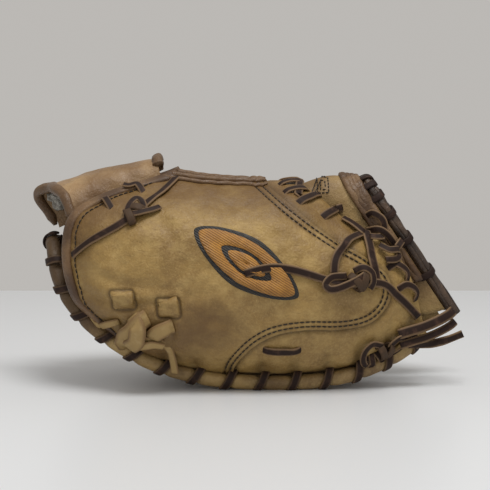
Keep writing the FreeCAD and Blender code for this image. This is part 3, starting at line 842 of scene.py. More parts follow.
EDGE_STEPS = 90
edge_share = np.linspace(0, 1, EDGE_STEPS)
edge_rows = np.linspace(0, BACK_ROWS - 1, EDGE_STEPS).astype(int)
edge_points = back[0][edge_rows]
edge_normal = back_normal[3][edge_rows]
edge_across = unit(back[6][edge_rows] - edge_points)
binding_centers = edge_points + edge_across * 2.2 + edge_normal * 0.4
binding = Mesh()
add_sweep(binding, binding_centers, edge_across,
          oval_section(BINDING_HALF_WIDTH + 0.6, 2.6, 14, 0.7),
          stain=0.5 + 0.5 * np.sin(edge_share * 30), edge=0 * edge_share)
both_sides(binding, "wrist_binding", binding_hide, "thumb_wrist_binding",
           "finger_wrist_binding")
CROWN_STEPS = 70
crown_share = np.linspace(0.0, 0.74, CROWN_STEPS)
crown_columns = (crown_share * (BACK_COLUMNS - 1)).astype(int)
piping = Mesh()
for row, radius in ((2, 2.3), (9, 1.7)):
    line = panel_outer[crown_columns, row] + back_normal[crown_columns, row] * 0.8
    beads = radius * (1 + 0.06 * np.sin(crown_share * 60)) / radius
    beads[-5:] *= np.linspace(1.0, 0.35, 5)
    add_sweep(piping, line, np.tile([0.0, 0.5, 1.0], (CROWN_STEPS, 1)),
              oval_section(radius, radius, 12, 0.9), swell=beads, stain=0.4 + 0 * beads,
              edge=0 * beads)
both_sides(piping, "crown_piping", binding_hide)
BINDING_STITCH_COLUMN = 11
stitch_rows = np.arange(2, BACK_ROWS - 2, 2)
stitch_normals = back_normal[BINDING_STITCH_COLUMN][stitch_rows]
binding_stitches = Mesh()
add_stitches(binding_stitches,
             panel_outer[BINDING_STITCH_COLUMN][stitch_rows] + stitch_normals * 0.3,
             stitch_normals)
both_sides(binding_stitches, "binding_stitches", seam_thread)

# ---- rims: welt, laces ------------------------------------------------------------------------

heel_mid = np.array([-153, 0, 103.5 + ROLL_RADIUS])
rim_path_share = np.linspace(0, 1, 420)
rim_path = rim_center(rim_path_share)
heel_run = curve([heel_mid, (-152.4, -7, 107.8), rim_center(0.0), rim_center(0.02)])(
    np.linspace(0, 0.86, 16))
heel_run = heel_run[heel_run[:, 1] > rim_path[0, 1] + 0.4]
roll_line = np.concatenate([heel_run, rim_path])
wrap_centers = rim_center(wrap_shares)
gap_to_wrap = np.min(np.linalg.norm(roll_line[:, None] - wrap_centers[None], axis=2), axis=1)
roll_swell = 1.03 - 0.20 * np.exp(-(gap_to_wrap / 3.6) ** 2)
roll_swell[-6:] *= np.linspace(1.0, 0.55, 6)
# The welt's edge mark is painted shade beside each lace wrap, and it also darkens the welt towards
# the heel.
welt = Mesh()
add_sweep(welt, roll_line, np.tile([0.0, 0.0, 1.0], (len(roll_line), 1)),
          oval_section(ROLL_RADIUS, ROLL_RADIUS, 20, 0.9), swell=roll_swell,
          stain=np.clip(0.25 + 0.3 * np.sin(roll_line[:, 0] * 0.09)
                        + ease(-roll_line[:, 0], 95, 145), 0, 1),
          edge=0.55 * np.exp(-(gap_to_wrap / 3.2) ** 2) + 0.25 * ease(-roll_line[:, 0], 110, 150))
thumb_welt = welt.piece("thumb_welt", welt_hide, "thumb_side", "thumb_rim_roll", ride=False)
finger_welt = welt.mirror().piece("finger_welt", welt_hide, "finger_side",
                                  ("finger_rim_roll", "heel_roll"), ride=False)
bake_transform(thumb_welt)
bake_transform(finger_welt)


def add_strip(mesh, centers, across, half_width, half_thick, pale=1.0):
    """A flat strip of lace along a line; its cut mark is this pale along both edges."""
    section = oval_section(half_width, half_thick)
    start = len(mesh.points)
    add_sweep(mesh, centers, across, section)
    on_edge = (np.abs(section[:, 0]) > PALE_EDGE * half_width).astype(float)
    mesh.marks.setdefault("cut", {})[start] = pale * np.tile(on_edge, len(centers))


def add_wrap(mesh, share, lean=8.0):
    """One slanted turn of flat lace round the welt, from its slit in the panel."""
    center = rim_center(share)
    heading = unit(rim_center(share + 0.01) - rim_center(share - 0.01))
    up = unit(np.array([0, 0, 1.0]) - heading * heading[2])
    out = np.cross(heading, up)
    if out[1] > 0:
        out = -out
    angles = np.radians(np.linspace(118, -205, 36))
    reach = ROLL_RADIUS * 0.92 + LACE_HALF_THICK + 0.4
    rise = np.where(angles > 0, 1.55, 1.0)
    spread = np.where(np.cos(angles) > 0, 1.05, 1.0)
    ring = (center + np.outer(np.cos(angles) * reach * spread, out)
            + np.outer(np.sin(angles) * reach * rise, up)
            + np.outer(np.sin(angles) * lean * 0.5, heading))
    ring[:, 2] = np.maximum(ring[:, 2], LACE_HALF_THICK)
    add_strip(mesh, ring, np.tile(heading, (len(ring), 1)), LACE_HALF_WIDTH + 0.2,
              LACE_HALF_THICK, pale=0.5)


rim_laces = Mesh()
for share in wrap_shares:
    add_wrap(rim_laces, share)
both_sides(rim_laces, "rim_laces", dark_lace, "thumb_rim_laces", "finger_rim_laces")

# ---- laces laid on the thumb back ------------------------------------------------------------

def add_lace(mesh, centers, normals, half_width=LACE_HALF_WIDTH, half_thick=LACE_HALF_THICK,
             twist=None):
    """A flat strip with its face along the normals, or turned from them by twist."""
    across = side_vectors(centers, normals)
    if twist is not None:
        up = np.cross(unit(np.gradient(centers, axis=0)), across)
        across = across * np.cos(twist)[:, None] + up * np.sin(twist)[:, None]
    add_strip(mesh, centers, across, half_width, half_thick)


def lace_on_back(mesh, points, count=24, tree=None, **shape):
    """A lace along an (x, z, lift) line on the back."""
    centers, normals = trace_on_back(points, count, tree)
    add_lace(mesh, centers, normals, **shape)


rim_stitch = Mesh()
lace_on_back(rim_stitch, ((9, 33.8, -1.8), (14, 33.4, 1.2), (25, 32.8, 1.8), (35, 33, 1.2),
                          (40, 33.4, -1.8)), half_width=3.3)
rim_stitch.piece("rim_stitch", dark_lace, "thumb_side", "thumb_rim_stitch")


# ---- free laces: their routes are the part's, as (x, z, lift off the back) -------------------

def route_on_back(points):
    """The route's points in the mitt's frame."""
    return [on_back(x, z, lift - ROUTE_LIFT)[0] for x, z, lift in points]


def cord_piece(name, route, finish, twist):
    """A flat lace along the smooth NURBS line of its route."""
    line = bpy.data.curves.new(name + "_line", "CURVE")
    line.dimensions = "3D"
    spline = line.splines.new("NURBS")
    spline.points.add(len(route) - 1)
    for point, place in zip(spline.points, route):
        point.co = (*[c * MM for c in place], 1)
    spline.order_u = 3
    spline.use_endpoint_u = True
    spline.resolution_u = 10
    holder = bpy.data.objects.new(name + "_line", line)
    bpy.context.scene.collection.objects.link(holder)
    bpy.context.view_layer.update()
    traced = bpy.data.meshes.new_from_object(holder)
    centers = np.array([v.co for v in traced.vertices]) / MM
    bpy.data.objects.remove(holder)
    bpy.data.meshes.remove(traced)
    nearest = [front_tree.find_nearest(Vector(center))[1] for center in centers]
    normals = np.array([-normal if normal.y > 0 else normal for normal in nearest])
    for _ in range(6):
        normals[1:-1] = (normals[:-2] + normals[1:-1] + normals[2:]) / 3
    share = np.linspace(0, 1, len(centers))
    strip = Mesh()
    add_lace(strip, centers, unit(normals), CORD_HALF_WIDTH, CORD_HALF_THICK,
             twist=twist * np.sin(share * 2 * math.pi * 1.3 + 0.6))
    piece = strip.piece(name, finish, "thumb_side", name)


wrist_lace_route = route_on_back((
    (-55, 159, 3.0), (-63, 150, 3.4), (-73, 143.5, 3.2), (-81, 136.5, 3.4), (-89, 130, 3.6),
    (-98, 124.5, 3.2), (-109, 119, 3.0), (-120, 112, 3.4), (-130, 103, 3.6)))
tip_lace_route = route_on_back((
    (-3, 91.5, 3.2), (11, 95.5, 3.6), (26, 95.5, 3.2), (41, 91.5, 3.2), (56, 86, 4.2),
    (70, 83, 6.0), (84, 83.5, 7.5), (98, 80.5, 7.0), (109, 73, 4.6), (119, 63, 3.8),
    (128, 54, 3.6)))
tip_loop_route = route_on_back((
    (84, 116, 4.0), (75, 113.5, 5.5), (67, 108, 6.0), (61.5, 100, 6.0), (62, 91, 5.0)))
tip_tail_route = [(122, -42, 33), (133, -38, 32.5), (144, -36, 34), (154, -35.5, 37),
                  (163, -36, 41)]
loop_tail_route = route_on_back(((-80, 46, 8.0), (-69, 45, 6.5))) + [
    (-60.5, -66, 37), (-56.5, -63, 26), (-55.5, -60, 14.5)]
cord_piece("wrist_lace", wrist_lace_route, dark_lace, 0.25)
cord_piece("tip_lace", tip_lace_route, dark_lace, 0.3)
cord_piece("tip_loop_lace", tip_loop_route, dark_lace, 0.2)
cord_piece("tip_lace_tail", tip_tail_route, dark_lace, 0.2)
cord_piece("thumb_loop_tail", loop_tail_route, tan_lace, 0.15)

# ---- knots ------------------------------------------------------------------------------------

KNOT_FLATNESS = 0.72


def add_knot(mesh, start, end, radius, slants, half_width):
    """Slanted turns of lace round the line from start to end, pressed towards the back."""
    start_place, normal = on_back(*start)
    end_place, _ = on_back(*end)
    axis = unit(end_place - start_place)
    normal = unit(normal - axis * (normal @ axis))
    side = np.cross(axis, normal)
    span = np.linalg.norm(end_place - start_place)
    angles = np.linspace(0, 2 * math.pi, 30, endpoint=False)
    for index, slant in enumerate(slants):
        share = (index + 0.5) / len(slants)
        center = start_place + axis * span * share
        bulge = radius * (0.72 + 0.28 * math.sin(math.pi * share))
        ring = (center + np.outer(np.cos(angles) * bulge, side)
                + np.outer(np.sin(angles) * bulge * KNOT_FLATNESS, normal)
                + np.outer(np.cos(angles) * slant, axis))
        outward = unit(ring - center)
        across = np.cross(outward, unit(np.roll(ring, -1, axis=0) - np.roll(ring, 1, axis=0)))
        add_sweep(mesh, ring, across, oval_section(half_width, 1.0), closed=True,
                  cut=0.25 * np.ones(len(ring)))


wrist_knot = Mesh()
add_knot(wrist_knot, (-81, 138, 2.4), (-90, 129, 2.4), 6.4, (2.5, -3.5), half_width=3.0)
lace_on_back(wrist_knot, ((-90, 128, 1.0), (-89, 135, 5.2), (-84, 141, 6.2), (-79, 141, 3.8),
                          (-77, 136, 1.0)), half_width=2.7)
lace_on_back(wrist_knot, ((-85, 132, 5.0), (-77, 134, 4.2), (-70, 136.5, 3.0),
                          (-66, 138.5, 1.6)), half_width=2.7)
wrist_knot.piece("wrist_lace_knot", dark_lace, "thumb_side", "wrist_lace_knot")

tip_knot = Mesh()
add_knot(tip_knot, (74, 83, 4.6), (84, 85, 5.0), 6.8, (3.5, -3.5), half_width=3.1)
lace_on_back(tip_knot, ((88, 90, 3.5), (80, 88, 8.0), (69, 82, 8.2), (59, 79, 6.0),
                        (55, 83, 4.4), (60, 88, 4.0), (70, 89, 5.0)), half_width=3.0, count=34)
lace_on_back(tip_knot, ((76, 91, 3.5), (82, 92, 8.5), (87, 86, 9.5), (86, 78, 7.0)),
             half_width=2.9)
tip_knot.piece("tip_lace_knot", dark_lace, "thumb_side", "tip_lace_knot")

rim_knot = Mesh()
add_knot(rim_knot, (96, 30, 3.2), (105, 31, 3.4), 6.4, (3.0, -3.0), half_width=3.0)
lace_on_back(rim_knot, ((98, 36, 4.0), (90, 37, 4.5), (85, 31, 5.5), (87, 22, 6.5),
                        (94, 18, 6.5), (99, 23, 5.5)), half_width=2.6, count=34)
lace_on_back(rim_knot, ((104, 34, 5.0), (111, 41, 5.5), (118, 38, 5.0), (119, 30, 5.0),
                        (112, 24, 5.5), (104, 25, 5.0)), half_width=2.6, count=34)
lace_on_back(rim_knot, ((90, 24, 4.0), (92, 14, 6.5), (97, 9, 7.5), (104, 12, 6.5)),
             half_width=2.6)
rim_knot.piece("rim_knot", dark_lace, "thumb_side", "rim_knot")

loop_knot = Mesh()
lace_on_back(loop_knot, ((-127, 52, 0.5), (-121, 47, 2.8), (-112, 50, 3.2), (-103, 54, 2.6),
                         (-96, 55, 0.5)), half_width=3.2)
lace_on_back(loop_knot, ((-95, 32, 0.0), (-93, 40, 4.6), (-87, 49, 6.2), (-80, 57, 5.0),
                         (-75, 59, 0.0)), half_width=7.2, half_thick=1.8)
lace_on_back(loop_knot, ((-85, 60, 0.5), (-80, 55, 8.6), (-81, 46, 9.4), (-86, 38, 5.5),
                         (-88, 33, 0.5)), half_width=6.6, half_thick=1.7)
loop_knot.piece("loop_knot", tan_lace, "thumb_side", "thumb_loop_knot")

loop_bight = Mesh()
lace_on_back(loop_bight, ((-74, 40, 0.0), (-69, 47, 4.6), (-62, 52, 4.8), (-56, 53, 0.0)),
             half_width=6.0, half_thick=1.7)
lace_on_back(loop_bight, ((-84, 42, 8.2), (-77, 42, 8.6), (-69, 42.5, 7.4), (-63, 40.5, 5.0)),
             half_width=3.4, half_thick=1.1)
loop_bight.piece("loop_bight", tan_lace, "thumb_side", "thumb_loop_bight")

loop_stitches = Mesh()
for left, low, wide, tall in LOOP_STITCHES:
    x, z = left + wide / 2 - 0.06 * tall, low
    lace_on_back(loop_stitches, ((x + 0.9, z + 1.2, -2.0), (x + 0.4, z + 3.4, -0.1),
                                 (x, z + tall / 2, 0.5), (x - 0.4, z + tall - 3.4, -0.1),
                                 (x - 0.9, z + tall - 1.2, -2.0)),
                 half_width=wide / 2 - 1.2, half_thick=0.9)
loop_stitches.piece("loop_stitches", tan_hide, "thumb_side", "thumb_loop_stitches")

cross_lace = Mesh()
lace_on_back(cross_lace, ((80, 142, 1.6), (84, 131, 3.2), (87.5, 118, 3.4), (90, 103, 3.4),
                          (92.5, 90, 3.6), (94, 82, 2.4)), half_width=3.8)
cross_lace.piece("tip_cross_lace", dark_lace, "thumb_side", "tip_cross_lace")

wrap_lace = Mesh()
wrap_line = curve(((113, -47.5, 42), (122, -46, 44.5), (132, -43, 47), (143, -39.5, 51),
                   (152, -36.5, 55.5), (156, -32, 58)))(np.linspace(0, 1, 24))
wrap_normal = unit(np.tile([0.15, -1.0, 0.25], (24, 1)))
add_lace(wrap_lace, wrap_line, wrap_normal, 4.0, 1.1)
add_lace(wrap_lace, wrap_line + np.array([1.5, 1.6, -8.6]), wrap_normal, 3.2, 1.0)
wrap_lace.piece("tip_wrap_lace", dark_lace, "thumb_side", "tip_wrap_lace")

strap_ties = Mesh()
for (x0, z0), (x1, z1) in (((-114, 150), (-102, 138)), ((-93, 158), (-79, 149.5))):
    foot, foot_normal = on_back(x1, z1, -1.0)
    middle, _ = on_back(0.35 * x0 + 0.65 * x1, 0.35 * z0 + 0.65 * z1, 3.4)
    head, _ = on_back(0.85 * x0 + 0.15 * x1, 0.85 * z0 + 0.15 * z1, 3.6)
    tuck = head + np.array([x0 - x1, 3.0, 0.25 * (z0 - z1)]) * 0.3
    run = curve((tuck, head, middle, foot))(np.linspace(0, 1, 20))
    add_lace(strap_ties, run, np.tile(unit(foot_normal + np.array([0, -0.2, 0.7])), (20, 1)))
both_sides(strap_ties, "strap_ties", dark_lace, "strap_thumb_laces", "strap_finger_laces")

# ---- emblem: a plain lozenge in satin stitch ---------------------------------------------------

EMBLEM_PLACE = (-2.0, 99.0)
EMBLEM_SLANT = math.radians(-33)
EMBLEM_HALF = (42.0, 15.5)


def add_lozenge(mesh, outer, inner, low, high):
    """A raised lozenge ring (or a full one when inner is 0), with rounded sides."""
    turns = np.linspace(0, 2 * math.pi, 120, endpoint=False)
    cosine, sine = np.cos(turns), np.sin(turns)
    half = np.array(EMBLEM_HALF)
    shape = 1.25
    unit_ring = np.stack([np.sign(cosine) * np.abs(cosine) ** shape * half[0],
                          np.sign(sine) * np.abs(sine) ** shape * half[1]], axis=1)
    levels = ((inner, low), (inner + 0.25 * (outer - inner), high),
              (inner + 0.75 * (outer - inner), high), (outer, low))
    rings = []
    for scale, lift in levels:
        grow = (scale - 1.0) * 9.0
        away = unit_ring * (1 + grow / np.linalg.norm(unit_ring, axis=1, keepdims=True)) \
            if scale > 0.7 else unit_ring * max(scale, 0.01)
        along = away[:, 0] * math.cos(EMBLEM_SLANT) - away[:, 1] * math.sin(EMBLEM_SLANT)
        above = away[:, 0] * math.sin(EMBLEM_SLANT) + away[:, 1] * math.cos(EMBLEM_SLANT)
        rings.append([on_back(EMBLEM_PLACE[0] + a, EMBLEM_PLACE[1] + b, lift)[0]
                      for a, b in zip(along, above)])
    count = len(turns)
    faces = []
    for level in range(len(rings) - 1):
        for i in range(count):
            j = (i + 1) % count
            faces.append((level * count + i, (level + 1) * count + i,
                          (level + 1) * count + j, level * count + j))
    mesh.add(np.array(rings), faces)


emblem_border = Mesh()
add_lozenge(emblem_border, 1.45, 0.50, -0.4, 1.3)
emblem_gold = Mesh()
add_lozenge(emblem_gold, 1.0, 0.52, 0.9, 2.7)
add_lozenge(emblem_gold, 0.40, 0.0, 0.4, 2.4)
emblem_field = Mesh()
add_lozenge(emblem_field, 0.60, 0.0, 0.2, 0.9)
emblem_border.piece("emblem_border", black_satin, "thumb_side", "emblem_patch")
emblem_gold.piece("emblem_gold", gold_satin, "thumb_side")
emblem_field.piece("emblem_field", black_satin, "thumb_side")

# ---- palm, heel and web --------------------------------------------------------------------------

WEB_LIFT = 0.4              # the web's outer panel stands this far off its skin


def folding_pair(mesh, name, finish, thumb_node, finger_node):
    """The thumb half and its mirror, with their transforms baked into the meshes."""
    thumb = mesh.piece("thumb_" + name, finish, "", thumb_node, ride=False)
    finger = mesh.mirror().piece("finger_" + name, finish, "", finger_node, ride=False)
    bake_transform(thumb)
    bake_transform(finger)


def fold_half(name, finish, skin, u_range, lifts, thumb_node, finger_node, columns, rows,
              bumps=1.0):
    """A mirrored pair of folded sheets on a skin, between two lifts off it."""
    grid, normal, u, v = grid_on(skin, columns, rows, u_range, (0.0, 0.5))
    fade = ease(v, 0.03, 0.12) * ease(0.5 - v, 0.0, 0.06)
    wave = bumps * (0.8 * ripple(grid, 30, 12) + 0.3 * ripple(grid, 11, 4)) * fade
    low, high = lifts
    sheet = Mesh()
    add_sheet(sheet, grid + normal * (high + wave)[..., None],
              grid + normal * (low + wave)[..., None],
              stain=np.clip(0.45 + 0.4 * ripple(grid, 45, 9), 0, 1), edge=0 * u)
    folding_pair(sheet, name, finish, thumb_node, finger_node)
    return sheet


fold_half("palm", palm_hide, pocket_skin, (0.0, 1.0), (0.0, LEATHER), "palm_thumb_section",
          ("palm_finger_section", "palm_center_section"), 150, 90)
fold_half("web_pocket", web_hide, web_pocket_skin, (0.0, 0.9), (0.0, LEATHER), (),
          "web_pocket_panel", 70, 70)
web_outer = fold_half("web_outer", web_hide, web_top_skin, (0.0, 1.0),
                      (WEB_LIFT, WEB_LIFT + LEATHER), (), "web_outer_panel", 90, 90, 0.8)
web_tree = tree_of(main_panel, tip_shell, web_outer)

web_laces = Mesh()
# Each short lace is given by its two ends, (x, z), where it dips into its slits.
for (x0, z0), (x1, z1) in (((22, 153.6), (43, 155.2)), ((25.5, 148.4), (45.5, 150.4)),
                           ((36, 141), (55, 146)), ((54.5, 130), (72.5, 136.5))):
    lace_on_back(web_laces, ((x0, z0, -1.6), (x0 + 0.2 * (x1 - x0), z0 + 0.3 * (z1 - z0), 1.5),
                             (x0 + 0.55 * (x1 - x0), z0 + 0.62 * (z1 - z0), 2.6),
                             (x0 + 0.85 * (x1 - x0), z0 + 0.9 * (z1 - z0), 1.5),
                             (x1, z1, -1.6)), tree=web_tree, half_width=3.3)
both_sides(web_laces, "web_laces", dark_lace, "web_thumb_laces", "web_finger_laces")

# The small stitched window of the web, and the loops that lace the web to the tip.
window_stitches = Mesh()
for inset in (0.0, 2.4):
    ring = ((53 + inset, 147 + inset), (53 + inset, 159 - inset), (61 - inset, 158.5 - inset),
            (61.5 - inset, 147.5 + inset), (53 + inset, 147 + inset))
    for (x0, z0), (x1, z1) in zip(ring, ring[1:]):
        side = [on_back(x0 + (x1 - x0) * share, z0 + (z1 - z0) * share, 0.2, web_tree)
                for share in np.linspace(0, 1, 9)]
        add_stitches(window_stitches, np.array([hit[0] for hit in side]),
                     np.array([hit[1] for hit in side]), 3.0, 2.5, 0.45)
both_sides(window_stitches, "window_stitches", seam_thread)

tip_loops = Mesh()
for route in (((88, 128, 0.5), (95, 132, 6.0), (103, 127, 7.5), (104, 118, 6.5),
               (98, 112, 6.0), (90, 113, 4.5)),
              ((90, 118, 3.0), (98, 120, 7.5), (107, 116, 8.0), (113, 107, 7.0),
               (110, 98, 5.0), (101, 97, 4.0)),
              ((97, 108, 3.0), (104, 103, 6.5), (112, 104, 7.0), (116, 111, 5.0)),
              ((104, 92, -1.0), (110, 94, 3.0), (117, 88, 4.0), (120, 80, -0.5)),
              ((112, 76, -1.0), (118, 79, 3.0), (125, 73, 3.6), (127, 66, -0.5))):
    lace_on_back(tip_loops, route, tree=web_tree, count=30, half_width=2.9)
both_sides(tip_loops, "tip_loops", dark_lace)


def web_rim(share):
    """The middle of the roll round the web's outer end, over its crest."""
    shift = np.array([WEB_ROLL_RADIUS + 0.6, 0, 1.0])
    foot = web_top_foot(1.0) + shift
    ridge = web_top_ridge(1.0) + shift
    return arch(foot, ridge, foot * FLIP, np.asarray(share, float))


web_share = np.linspace(0, 0.5, 110)
web_line = web_rim(web_share)
foot_run = unit(web_line[0] - web_line[3])
web_line[:4] += foot_run * np.array([6.0, 4.0, 2.2, 0.8])[:, None]
web_heading = unit(np.gradient(web_line, axis=0))
outward = np.array([1.0, 0.0, 0.3])
web_out = unit(outward - web_heading * (web_heading @ outward)[:, None])
web_side = np.cross(web_heading, web_out)
web_roll = Mesh()
for strand in range(WEB_ROLL_STRANDS):
    turn = 2 * math.pi * strand / WEB_ROLL_STRANDS + 0.5 * np.sin(web_share * 14)
    wander = 0.35 * np.sin(web_share * 70 + 2.3 * strand)
    reach = WEB_ROLL_RADIUS * 0.70 + wander
    line = (web_line + web_out * (np.cos(turn) * reach)[:, None]
            + web_side * (np.sin(turn) * reach)[:, None])
    facing = web_out * np.cos(turn)[:, None] + web_side * np.sin(turn)[:, None]
    add_sweep(web_roll, line, np.cross(web_heading, facing), oval_section(2.5, 1.7, 12, 0.8),
              stain=0.5 + 0.5 * np.sin(web_share * 33 + strand),
              edge=0.3 + 0.3 * np.sin(web_share * 90 + 2 * strand))
folding_pair(web_roll, "web_roll", web_rim_hide, (), "web_rim_roll")

STRIP_STEPS = 70
STRIP_RANGE = (0.06, 0.5)
web_strips = Mesh()
strip_v = np.linspace(*STRIP_RANGE, STRIP_STEPS)
for row in range(4):
    u_at = 0.925 - 0.062 * row
    line, line_normal, _, _ = grid_on(web_top_skin, 3, STRIP_STEPS, (u_at - 0.02, u_at + 0.02),
                                      STRIP_RANGE)
    puff = 0.35 * np.sin(strip_v * 90 + 2.0 * row)
    add_sweep(web_strips, line[1] + line_normal[1] * (LEATHER + 1.4 + puff)[:, None],
              np.tile([1.0, 0.0, 0.1], (STRIP_STEPS, 1)), oval_section(2.9, 2.0, 12, 0.8),
              stain=0.5 + 0.4 * np.sin(strip_v * 25 + row), edge=0 * strip_v)
folding_pair(web_strips, "web_strips", binding_hide, (), "web_rim_strips")

tie_out = np.array([1.0, 0.0, 0.35])
web_ties = Mesh()
for share in (0.075, 0.15, 0.225, 0.30, 0.375, 0.45):
    center = web_rim(share)
    heading = unit(web_rim(share + 0.02) - web_rim(share - 0.02))
    out = unit(tie_out - heading * (heading @ tie_out))
    side = np.cross(heading, out)
    angles = np.radians(np.linspace(-215, 150, 34))
    reach = WEB_ROLL_RADIUS * 1.05 + 0.7
    spread = np.where(np.cos(angles) < 0, 1.9, 1.0)
    ring = (center + np.outer(np.cos(angles) * reach * spread, out)
            + np.outer(np.sin(angles) * reach, side)
            + np.outer(np.sin(angles) * 3.0, heading))
    add_sweep(web_ties, ring, np.tile(heading, (len(ring), 1)), oval_section(2.7, 0.9),
              cut=np.zeros(len(ring)))
folding_pair(web_ties, "web_ties", dark_lace, (), "web_rim_laces")

HEEL_TIE_REACH = 6.8
heel_ties = Mesh()
for side_y in (-5.0, 5.0):
    center = heel_mid + np.array([0.4, side_y, -abs(side_y) * 0.1])
    angles = np.radians(np.linspace(60, 400, 34))
    ring = center + np.stack([np.cos(angles) * HEEL_TIE_REACH, 0.3 * side_y * np.sin(angles),
                              np.sin(angles) * HEEL_TIE_REACH], axis=1)
    add_sweep(heel_ties, ring, np.tile([0.0, 1.0, 0.0], (len(ring), 1)), oval_section(2.6, 0.9),
              cut=np.zeros(len(ring)))
heel_ties.piece("heel_ties", dark_lace, "center", "heel_laces")

# ---- wrist strap ---------------------------------------------------------------------------------

strap_grid, strap_normal, strap_u, _ = grid_on(strap_skin, 90, 160, (0.03, 0.97), (0, 0.97))
strap_wave = (0.8 * ripple(strap_grid, 40, 21) + 0.25 * ripple(strap_grid, 12, 22)
              ) * ease(np.minimum(strap_u, 1 - strap_u), 0.03, 0.15)
strap = Mesh()
add_sheet(strap, strap_grid + strap_normal * (STRAP_THICKNESS + strap_wave)[..., None],
          strap_grid + strap_normal * strap_wave[..., None],
          stain=np.clip(0.4 + 0.45 * ripple(strap_grid, 38, 23), 0, 1), edge=0 * strap_u)
strap.piece("wrist_strap", strap_hide, "strap", "wrist_strap")

BINDING_STEPS = 110
for name, u_at, lift, reach, node in (
        ("wrist", 0.0, 0.4, (0.05, 0.95), "strap_wrist_binding"),
        ("crown", 0.97, 2.2, (0.25, 0.81), "strap_crown_binding")):
    grid, normal, _, _ = grid_on(strap_skin, 3, BINDING_STEPS,
                                 (max(u_at - 0.03, 0), u_at + 0.03), reach)
    column = 0 if u_at == 0.0 else 1
    line = grid[column] + normal[column] * (lift + 0.6)
    roll = Mesh()
    swell = 1.05 + 0.05 * np.sin(np.linspace(0, 40, BINDING_STEPS))
    swell[:6] *= np.linspace(0.4, 1.0, 6)
    swell[-6:] *= np.linspace(1.0, 0.4, 6)
    add_sweep(roll, line, np.tile([1.0, 0.0, 0.5], (BINDING_STEPS, 1)),
              oval_section(3.9, 3.6, 14, 0.8),
              swell=swell, stain=0.5 + 0 * swell, edge=0 * swell)
    roll.piece("strap_" + name + "_binding", binding_hide, "strap", node)

LINING_GAP = 1.4            # under the strap, and how thick the fleece is before it swells
LINING_THICKNESS = 4.0
lining_grid, lining_normal, _, _ = grid_on(strap_skin, 60, 90, (0.05, 0.93), (0.24, 0.90))
lining = Mesh()
add_sheet(lining, lining_grid - lining_normal * LINING_GAP,
          lining_grid - lining_normal * (LINING_GAP + LINING_THICKNESS))
lining_piece = lining.piece("strap_fleece", fleece, "strap", "strap_fleece", ride=False)


def puff_up(piece, voxel, pressure, cap):
    """Swells a pad with a short cloth simulation, and keeps each point within cap of its start."""
    bpy.context.view_layer.objects.active = piece
    remesh = piece.modifiers.new("remesh", "REMESH")
    remesh.mode = "VOXEL"
    remesh.voxel_size = voxel * MM
    bpy.ops.object.modifier_apply(modifier=remesh.name)
    rest = np.array([v.co for v in piece.data.vertices])
    cloth = piece.modifiers.new("cloth", "CLOTH")
    cloth.settings.use_pressure = True
    cloth.settings.uniform_pressure_force = pressure
    cloth.settings.effector_weights.gravity = 0
    for step in range(1, 21):
        bpy.context.scene.frame_set(step)
    graph = bpy.context.evaluated_depsgraph_get()
    swollen = np.array([v.co for v in piece.evaluated_get(graph).data.vertices])
    piece.modifiers.remove(cloth)
    bpy.context.scene.frame_set(1)
    move = swollen - rest
    size = np.linalg.norm(move, axis=1, keepdims=True)
    move *= np.minimum(1, cap * MM / np.maximum(size, 1e-9))
    piece.data.vertices.foreach_set("co", (rest + move).ravel())
    piece.data.update()


def mark_spots(piece):
    """Writes the places that the finish is worked out from, after a remesh."""
    places = np.array([v.co for v in piece.data.vertices], np.float32) / MM
    spot = piece.data.attributes.get("spot") or piece.data.attributes.new(
        "spot", "FLOAT_VECTOR", "POINT")
    spot.data.foreach_set("vector", places.ravel())


bpy.ops.object.select_all(action="DESELECT")
puff_up(lining_piece, 4.0, 3.0, 1.6)
bpy.context.view_layer.objects.active = lining_piece
finer = lining_piece.modifiers.new("finer", "SUBSURF")
finer.levels = 2
bpy.ops.object.modifier_apply(modifier=finer.name)
tufts = np.array([v.co for v in lining_piece.data.vertices]) / MM
push = 0.55 * ripple(tufts, 7, 31) + 0.35 * ripple(tufts, 3.4, 32)
facing = np.zeros(len(tufts) * 3)
lining_piece.data.vertices.foreach_get("normal", facing)
tufts += facing.reshape(-1, 3) * push[:, None]
lining_piece.data.vertices.foreach_set("co", (tufts * MM).ravel())
lining_piece.data.update()
lining_piece.data.polygons.foreach_set("use_smooth", [True] * len(lining_piece.data.polygons))
mark_spots(lining_piece)
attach(lining_piece, "strap")

# ---- inner pieces keep their CAD shapes ------------------------------------------------------------

for node, finish in (("thumb_pad", felt), ("finger_pad", felt), ("palm_center_pad", felt),
                     ("hand_lining", lining_hide), ("thumb_stall_lining", lining_hide),
                     ("finger_stall_lining", lining_hide)):
    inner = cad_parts[node]
    inner.data.materials.clear()
    inner.data.materials.append(finish.material)

# ---- table, lights and camera ---------------------------------------------------------------

def plain(name, color, roughness):
    """One even material for the stage."""
    material = bpy.data.materials.new(name)
    material.use_nodes = True
    shader = material.node_tree.nodes["Principled BSDF"]
    shader.inputs["Base Color"].default_value = (*color, 1)
    shader.inputs["Roughness"].default_value = roughness
    return material


def stage_plane(name, corners, material):
    data = bpy.data.meshes.new(name)
    data.from_pydata(corners, [], [(0, 1, 2, 3)])
    data.materials.append(material)
    plane = bpy.data.objects.new(name, data)
    bpy.context.scene.collection.objects.link(plane)
    return plane


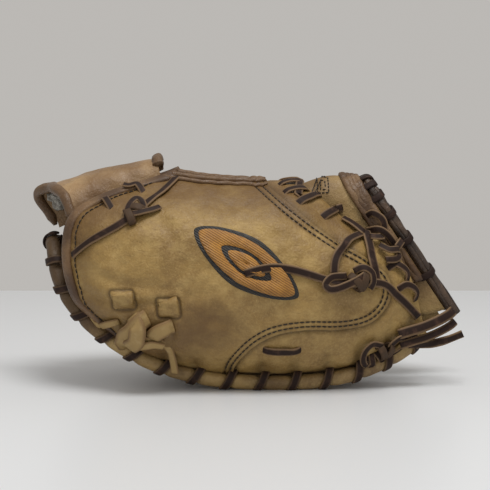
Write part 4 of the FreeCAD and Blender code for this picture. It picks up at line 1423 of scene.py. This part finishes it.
TABLE_REACH = 3             # metres
TABLE_BACK = 0.60
stage_plane("table", [(-TABLE_REACH, -TABLE_REACH, 0), (TABLE_REACH, -TABLE_REACH, 0),
                      (TABLE_REACH, TABLE_BACK, 0), (-TABLE_REACH, TABLE_BACK, 0)],
            plain("white_table", (0.71, 0.73, 0.755), 0.35))


def soft_light(name, place, aim, size, power, color):
    """A round soft light turned to its aim."""
    data = bpy.data.lights.new(name, "AREA")
    data.shape = "DISK"
    data.size = size
    data.energy = power
    data.color = color
    lamp = bpy.data.objects.new(name, data)
    lamp.location = place
    lamp.rotation_mode = "QUATERNION"
    lamp.rotation_quaternion = (Vector(aim) - Vector(place)).to_track_quat("-Z", "Y")
    bpy.context.scene.collection.objects.link(lamp)


soft_light("ceiling", (0.15, -0.45, 1.4), (0, 0, 0.05), 0.7, 14.0, (1.0, 0.985, 0.96))
soft_light("front_fill", (-0.6, -1.5, 0.7), (0, 0, 0.08), 0.6, 1.3, (1.0, 0.97, 0.93))

world = bpy.data.worlds.new("room")
world.use_nodes = True
world.node_tree.nodes["Background"].inputs["Color"].default_value = (1.0, 0.965, 0.92, 1)
world.node_tree.nodes["Background"].inputs["Strength"].default_value = 0.50
bpy.context.scene.world = world
bpy.context.scene.view_settings.view_transform = "Standard"

CAMERA_ELEVATION = math.radians(5)
CAMERA_DISTANCE = 1.2
VIEW_WIDTH = 0.3675
SENSOR_WIDTH = 36
aim = Vector((-0.003, -0.05, 0.110))
camera_data = bpy.data.cameras.new("camera")
camera_data.sensor_width = SENSOR_WIDTH
camera_data.lens = SENSOR_WIDTH * CAMERA_DISTANCE / VIEW_WIDTH
camera = bpy.data.objects.new("camera", camera_data)
toward = Vector((0, math.cos(CAMERA_ELEVATION), -math.sin(CAMERA_ELEVATION)))
camera.location = aim - toward * CAMERA_DISTANCE
camera.rotation_mode = "QUATERNION"
camera.rotation_quaternion = toward.to_track_quat("-Z", "Y")
bpy.context.scene.collection.objects.link(camera)
bpy.context.scene.camera = camera
